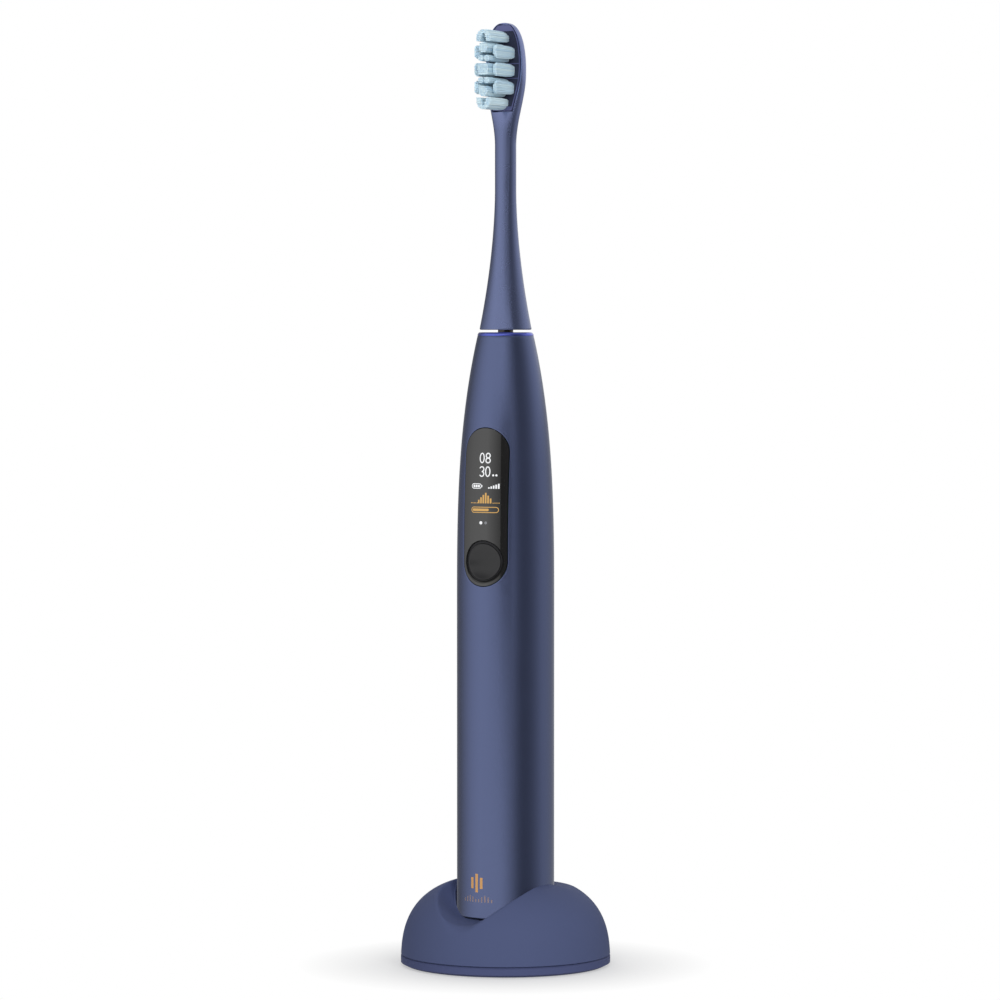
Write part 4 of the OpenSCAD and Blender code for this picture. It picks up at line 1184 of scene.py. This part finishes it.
def head_shell():
    """Neck and head in one skin, with the bore for the insert and the groove for the plate."""
    foot = np.array(head_section(FOOT_Z))
    turn = np.arctan2(foot[:, 0], -foot[:, 1])
    bore = [(BORE_R, BORE_DEEP), (BORE_R, MOUTH_DEEP), (MOUTH_R, MOUTH_DEEP), (MOUTH_R, 0.1),
            (MOUTH_R + 0.1, 0)]
    rows = [turned_row(radius, z + HEAD_Z, turn) for radius, z in bore]
    for inset, z in ((0.3, 0), (0.08, 0.1)):
        bevel = foot * (1 - inset / COLLAR_R)
        bevel[:, 2] = HEAD_Z + z
        rows.append(bevel)
    head = make("head_skin", solid(rows + [head_section(z) for z in head_levels()]))
    groove = prism(plate_outline(PLATE_IN - GROOVE_W), PLATE_BACK, GROOVE_FRONT)
    cut(head, make("groove_cutter", groove))
    dress(head, "brush_head", "head", "head_shell", crease=32)


def plate_outline(inset):
    """Outline of the bristle plate seen from the front, pulled in by inset."""
    right = []
    for z in np.linspace(PLATE_FROM + inset, HEAD_MID, 26)[:-1]:
        right.append((max(0.6, edge_x(z) - inset), z))
    for a in np.linspace(0, math.radians(86), 34):
        z = HEAD_MID + (HEAD_LEN - HEAD_MID - inset) * math.sin(a)
        right.append((max(0.3, edge_x(z) - inset), z))
    return right + [(-x, z) for x, z in reversed(right)]


def plate_loop(inset, deep, shrink=0.0):
    """A row of the plate's front, pulled in by inset, sunk, and shrunk towards the field's core."""
    points = []
    for x, z in plate_outline(inset):
        if inset > LAND_W:
            z = min(max(z, FIELD_FROM), FIELD_END)
        z_in = mix(z, min(max(z, FIELD_Z - FIELD_CORE), FIELD_Z + FIELD_CORE), shrink)
        x_in = x * (1 - shrink)
        points.append((x_in, face_y(x_in, z_in) + deep, z_in + HEAD_Z))
    return points


def rib(rib_z):
    """A low rib across the field."""
    half, low, high = edge_x(rib_z) - FIELD_IN + 0.05, rib_z - RIB_HALF, rib_z + RIB_HALF
    corners = ((-half, low), (half, low), (half, high), (-half, high))
    return prism(corners, -FACE_Y + FIELD_DEEP + 0.1, -FACE_Y + 0.02)


def bristle_plate():
    """The plate that holds the bristles, with a raised border and two ribs, and its field, dark
    with painted shade.
    """
    back = [(x, PLATE_BACK - 0.05, z) for x, _, z in plate_loop(PLATE_IN, 0)]
    rows = [back, plate_loop(PLATE_IN, 0.1), plate_loop(PLATE_IN + 0.08, 0), plate_loop(LAND_W, 0),
            plate_loop(FIELD_IN - 0.04, 0.06)]
    rows += [plate_loop(FIELD_IN, FIELD_DEEP, shrink) for shrink in SHRINKS]
    border = joined([solid(rows, "flat"), rib(FIELD_Z - RIB_Z), rib(FIELD_Z + RIB_Z)])
    dress(make("bristle_plate_face", border), "brush_head", "head_face", "bristle_plate",
          material=FINISHES["plate_land"])
    # The field under the tufts takes the dark blue with its painted shade.
    rows = [plate_loop(FIELD_IN + 0.02, FIELD_DEEP + 0.06)]
    rows += [plate_loop(FIELD_IN + 0.02, FIELD_DEEP - 0.05, shrink) for shrink in SHRINKS]
    dress(make("bristle_field", solid(rows, "flat")), "brush_head", "head_face")


# ---- bristles ----


def side_outline(side, row):
    """A side tuft: a block with cut corners, the largest on its inner side next to the middle."""
    x0, x1 = SIDE_IN, SIDE_OUT
    middle = FIELD_Z + row * ROWS_Z
    z0, z1 = middle - SIDE_HALF_H, middle + SIDE_HALF_H
    low, high = {-1: (0.5, 1.5), 0: (1.0, 1.0), 1: (1.5, 0.5)}[row]
    points = [(x0 + low * 0.85, z0), (x1 - 0.35, z0), (x1, z0 + 0.6), (x1, z1 - 0.6),
              (x1 - 0.35, z1), (x0 + high * 0.85, z1), (x0, z1 - high), (x0, z0 + low)]
    return [(side * x, z) for x, z in points]


def round_tuft(x, up, radius, drop):
    """A round tuft some way over the field's middle, and the reach of its strands."""
    z = FIELD_Z + up
    outline = [(x + radius * math.cos(a), z + radius * math.sin(a)) for a in full_turn(20)]
    return outline, level_reach(drop)


def end_outline(up):
    """An end tuft: a crescent with a notch on its inner side."""
    points = [(-2.3, 0), (-1, 0), (-0.3, 2.2), (0.3, 2.2), (1, 0), (2.3, 0), (2.3, 1.7), (1.5, 2.8),
              (0.6, 3.35), (-0.6, 3.35), (-1.5, 2.8), (-2.3, 1.7)]
    return [(x, FIELD_Z + up * (END_Z + z)) for x, z in points]


def square_outline():
    """The middle tuft: a square with its corners cut."""
    s, c = SQUARE_HALF, SQUARE_HALF - SQUARE_CUT
    points = [(-c, -s), (c, -s), (s, -c), (s, c), (c, s), (-c, s), (-s, c), (-s, -c)]
    return [(x, FIELD_Z + z) for x, z in points]


def inside(points, outline):
    """Which points lie inside an outline."""
    found = np.zeros(len(points), bool)
    x, z = points[:, 0], points[:, 1]
    for (x0, z0), (x1, z1) in zip(outline, outline[1:] + outline[:1]):
        crosses = (z0 > z) != (z1 > z)
        with np.errstate(divide="ignore", invalid="ignore"):
            at = x0 + (z - z0) * (x1 - x0) / (z1 - z0)
        found ^= crosses & (x < at)
    return found


def strand_places(outline):
    """A honeycomb of strand places inside a tuft's outline."""
    edge = np.array(outline)
    low, high = edge.min(0), edge.max(0)
    row_step = STRAND_STEP * math.sqrt(3) / 2
    places = []
    for i, z in enumerate(np.arange(low[1] + STRAND_R, high[1], row_step)):
        start = low[0] + STRAND_R + (i % 2) * STRAND_STEP / 2
        places += [(x, z) for x in np.arange(start, high[0], STRAND_STEP)]
    places = np.array(places)
    return places[inside(places, outline)]


def strand_roots(name, tufts):
    """A point for every strand, with its tuft's middle, its reach and its shade. Neighbours lean
    together in small clumps and share most of their shade."""
    spots, hearts, reaches, shades = [], [], [], []
    chance = np.random.default_rng(11)
    clump_shade = chance.random((CLUMP_CELLS, CLUMP_CELLS))
    for outline, reach in tufts:
        heart = np.mean(outline, axis=0)
        for x, z in strand_places(outline):
            cell = np.array([x + CLUMP_FROM[0], z - FIELD_Z + CLUMP_FROM[1]]) / CLUMP
            whole = np.floor(cell)
            lean = (whole + 0.5 - cell) * CLUMP * CLUMP_PULL
            shared = clump_shade[int(whole[0]) % CLUMP_CELLS, int(whole[1]) % CLUMP_CELLS]
            shades.append(SHARED_SHADE * shared + OWN_SHADE * chance.random())
            spots.append((x + lean[0], TUFT_ROOT, z + lean[1] + HEAD_Z))
            hearts.append((heart[0] * MM, 0, (heart[1] + HEAD_Z) * MM))
            reaches.append(reach(abs(x), z) * MM)
    mesh = bpy.data.meshes.new(name)
    mesh.from_pydata([tuple(c * MM for c in p) for p in spots], [], [])
    add_layer(mesh, "heart", hearts, "FLOAT_VECTOR")
    add_layer(mesh, "reach", reaches)
    add_layer(mesh, "shade", shades)
    return put(name, mesh)


class Tree:
    """A Geometry Nodes tree and the values of its named inputs."""

    def __init__(self, name):
        self.group = bpy.data.node_groups.new(name, "GeometryNodeTree")
        self.values = {}
        self.socket("Geometry", "Geometry", "INPUT")
        self.socket("Geometry", "Geometry", "OUTPUT")
        self.entry = self.group.nodes.new("NodeGroupInput")

    def socket(self, name, kind, way):
        return self.group.interface.new_socket(name, in_out=way, socket_type="NodeSocket" + kind)

    def size(self, name, kind, value):
        """A named input of the tree and its value."""
        self.values[self.socket(name, kind, "INPUT").identifier] = value
        return self.entry.outputs[name]

    def add(self, kind, inputs, **settings):
        return add(self.group, kind, inputs, **settings)

    def maths(self, operation, *inputs):
        return self.add("ShaderNodeMath", dict(enumerate(inputs)), operation=operation)

    def vector(self, operation, *inputs, **named):
        inputs = {**dict(enumerate(inputs)), **named}
        return self.add("ShaderNodeVectorMath", inputs, operation=operation)

    def named(self, name, kind):
        node = self.add("GeometryNodeInputNamedAttribute", {"Name": name}, data_type=kind)
        return node.outputs["Attribute"]

    def put_on(self, obj):
        """Adds the tree to an object as a modifier and sets its inputs."""
        modifier = obj.modifiers.new("bristles", "NODES")
        modifier.node_group = self.group
        for identifier, value in self.values.items():
            modifier[identifier] = value


def bristle_tree():
    """Strands stood on their roots, gathered at the foot of each tuft and a little uneven."""
    tree = Tree("bristle_strands")
    radius = tree.size("Strand Radius", "Float", STRAND_R * MM)
    sides = tree.size("Strand Sides", "Int", 6)
    gather = tree.size("Gather at Root", "Float", 0.5)
    depth = tree.size("Gather Depth", "Float", 1.5 * MM)
    stray = tree.size("Uneven Length", "Float", 0.014)
    seed = tree.size("Seed", "Int", 7)
    coat = tree.size("Finish", "Material", FINISHES["bristle"])
    shape = {"Vertices": sides, "Side Segments": 5, "Radius": radius, "Depth": 1.0}
    strand = tree.add("GeometryNodeMeshCylinder", shape, fill_type="TRIANGLE_FAN")
    standing = tree.add("GeometryNodeTransform", {"Geometry": strand, "Translation": (0, 0, 0.5)})
    spread = {2: tree.maths("SUBTRACT", 1.0, stray), 3: 1.0, "Seed": seed}
    uneven = tree.add("FunctionNodeRandomValue", spread, data_type="FLOAT")
    length = tree.maths("MULTIPLY", tree.named("reach", "FLOAT"), uneven.outputs[1])
    stretch = tree.add("ShaderNodeCombineXYZ", {"X": 1.0, "Y": 1.0, "Z": length})
    stood = tree.add("GeometryNodeInstanceOnPoints", {
        "Points": tree.entry, "Instance": standing, "Rotation": FORWARD, "Scale": stretch})
    real = tree.add("GeometryNodeRealizeInstances", {"Geometry": stood})
    place = tree.add("GeometryNodeInputPosition", {})
    away = tree.vector("SUBTRACT", tree.named("heart", "FLOAT_VECTOR"), place)
    flat = tree.vector("MULTIPLY", away, (1, 0, 1))
    split = tree.add("ShaderNodeSeparateXYZ", {0: place})
    fall = tree.maths("DIVIDE", split.outputs["Y"], depth)
    pull = tree.maths("MULTIPLY", tree.maths("EXPONENT", fall), gather)
    shift = tree.vector("SCALE", flat, Scale=pull)
    moved = tree.add("GeometryNodeSetPosition", {"Geometry": real, "Offset": shift})
    dressed = tree.add("GeometryNodeSetMaterial", {"Geometry": moved, "Material": coat})
    tree.add("NodeGroupOutput", {0: dressed})
    return tree


def side_reach(x, z):
    """Reach of a side tuft's strand: less towards its inner side and near its ends."""
    slant = (SIDE_OUT - x) / (SIDE_OUT - SIDE_IN)
    off = min(abs(z - FIELD_Z - row * ROWS_Z) for row in (-1, 0, 1))
    corner = max(0, off - SIDE_HALF_H + CORNER_CUT)
    return TIP_Y - SIDE_DROP - SIDE_SLANT * slant - corner + TUFT_ROOT


def level_reach(drop):
    """The same reach for every strand of a tuft that ends some way below the highest."""
    def reach(x, z):
        return TIP_Y - drop + TUFT_ROOT
    return reach


def grow(name, tufts, tree, stands_for):
    """Bristles for some tufts as one plain mesh."""
    roots = strand_roots(name, tufts)
    tree.put_on(roots)
    settle(roots)
    dress(roots, "brush_head", "bristle", stands_for, crease=60)


def bristles():
    tree = bristle_tree()
    side = [(side_outline(s, row), side_reach) for s in (-1, 1) for row in (-1, 0, 1)]
    middle = [(square_outline(), level_reach(0))]
    for s in (-1, 1):
        middle += [round_tuft(s * SPOT_X, u * SPOT_Z, SPOT_R, SPOT_DROP) for u in (-1, 1)]
    middle += [round_tuft(0, u * ROUND_Z, ROUND_R, ROUND_DROP) for u in (-1, 1)]
    ends = [(end_outline(u), level_reach(END_DROP)) for u in (-1, 1)]
    grow("side_bristles", side, tree, "side_tufts")
    grow("middle_bristles", middle, tree, "middle_tufts")
    grow("end_bristles", ends, tree, "end_tufts")


# ---- CAD pieces that stay, by the slot that they take their finish from ----

STAYING = {
    "plate": "base_plate",
    "foot": "foot_pad",
    "steel": "cover_screws frame_screws dock_weight retaining_clip grip_ring battery_tabs",
    "shaft": "drive_shaft shaft_insert",
    "winding": "charge_coil receiver_coil stator_winding",
    "ferrite": "charge_ferrite receiver_ferrite",
    "board": "dock_board main_board",
    "chips": "dock_board_parts main_board_parts button_switch",
    "grommet": "cable_grommet",
    "cap": "end_cap",
    "seal": "end_cap_seal damper_ring shaft_seal",
    "frame": "inner_frame motor_mount",
    "cell": "battery_cell",
    "display": "display_module",
    "can": "motor_can motor_cap",
    "bobbin": "stator_bobbin",
    "bearing": "rear_bearing front_bearing",
    "magnet": "rotor_magnets",
    "anchor": "tuft_anchors",
}


def dress_staying():
    for slot, nodes in STAYING.items():
        for node in nodes.split():
            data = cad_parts[node].data
            data.materials.clear()
            data.materials.append(FINISHES[slot])


make_camera()
make_studio()
FINISHES = make_finishes()
dress_staying()
dock_cover()
handle_shell()
nose_ring()
display_window()
button_seal()
power_button()
display_marks()
lower_mark()
head_shell()
bristle_plate()
bristles()
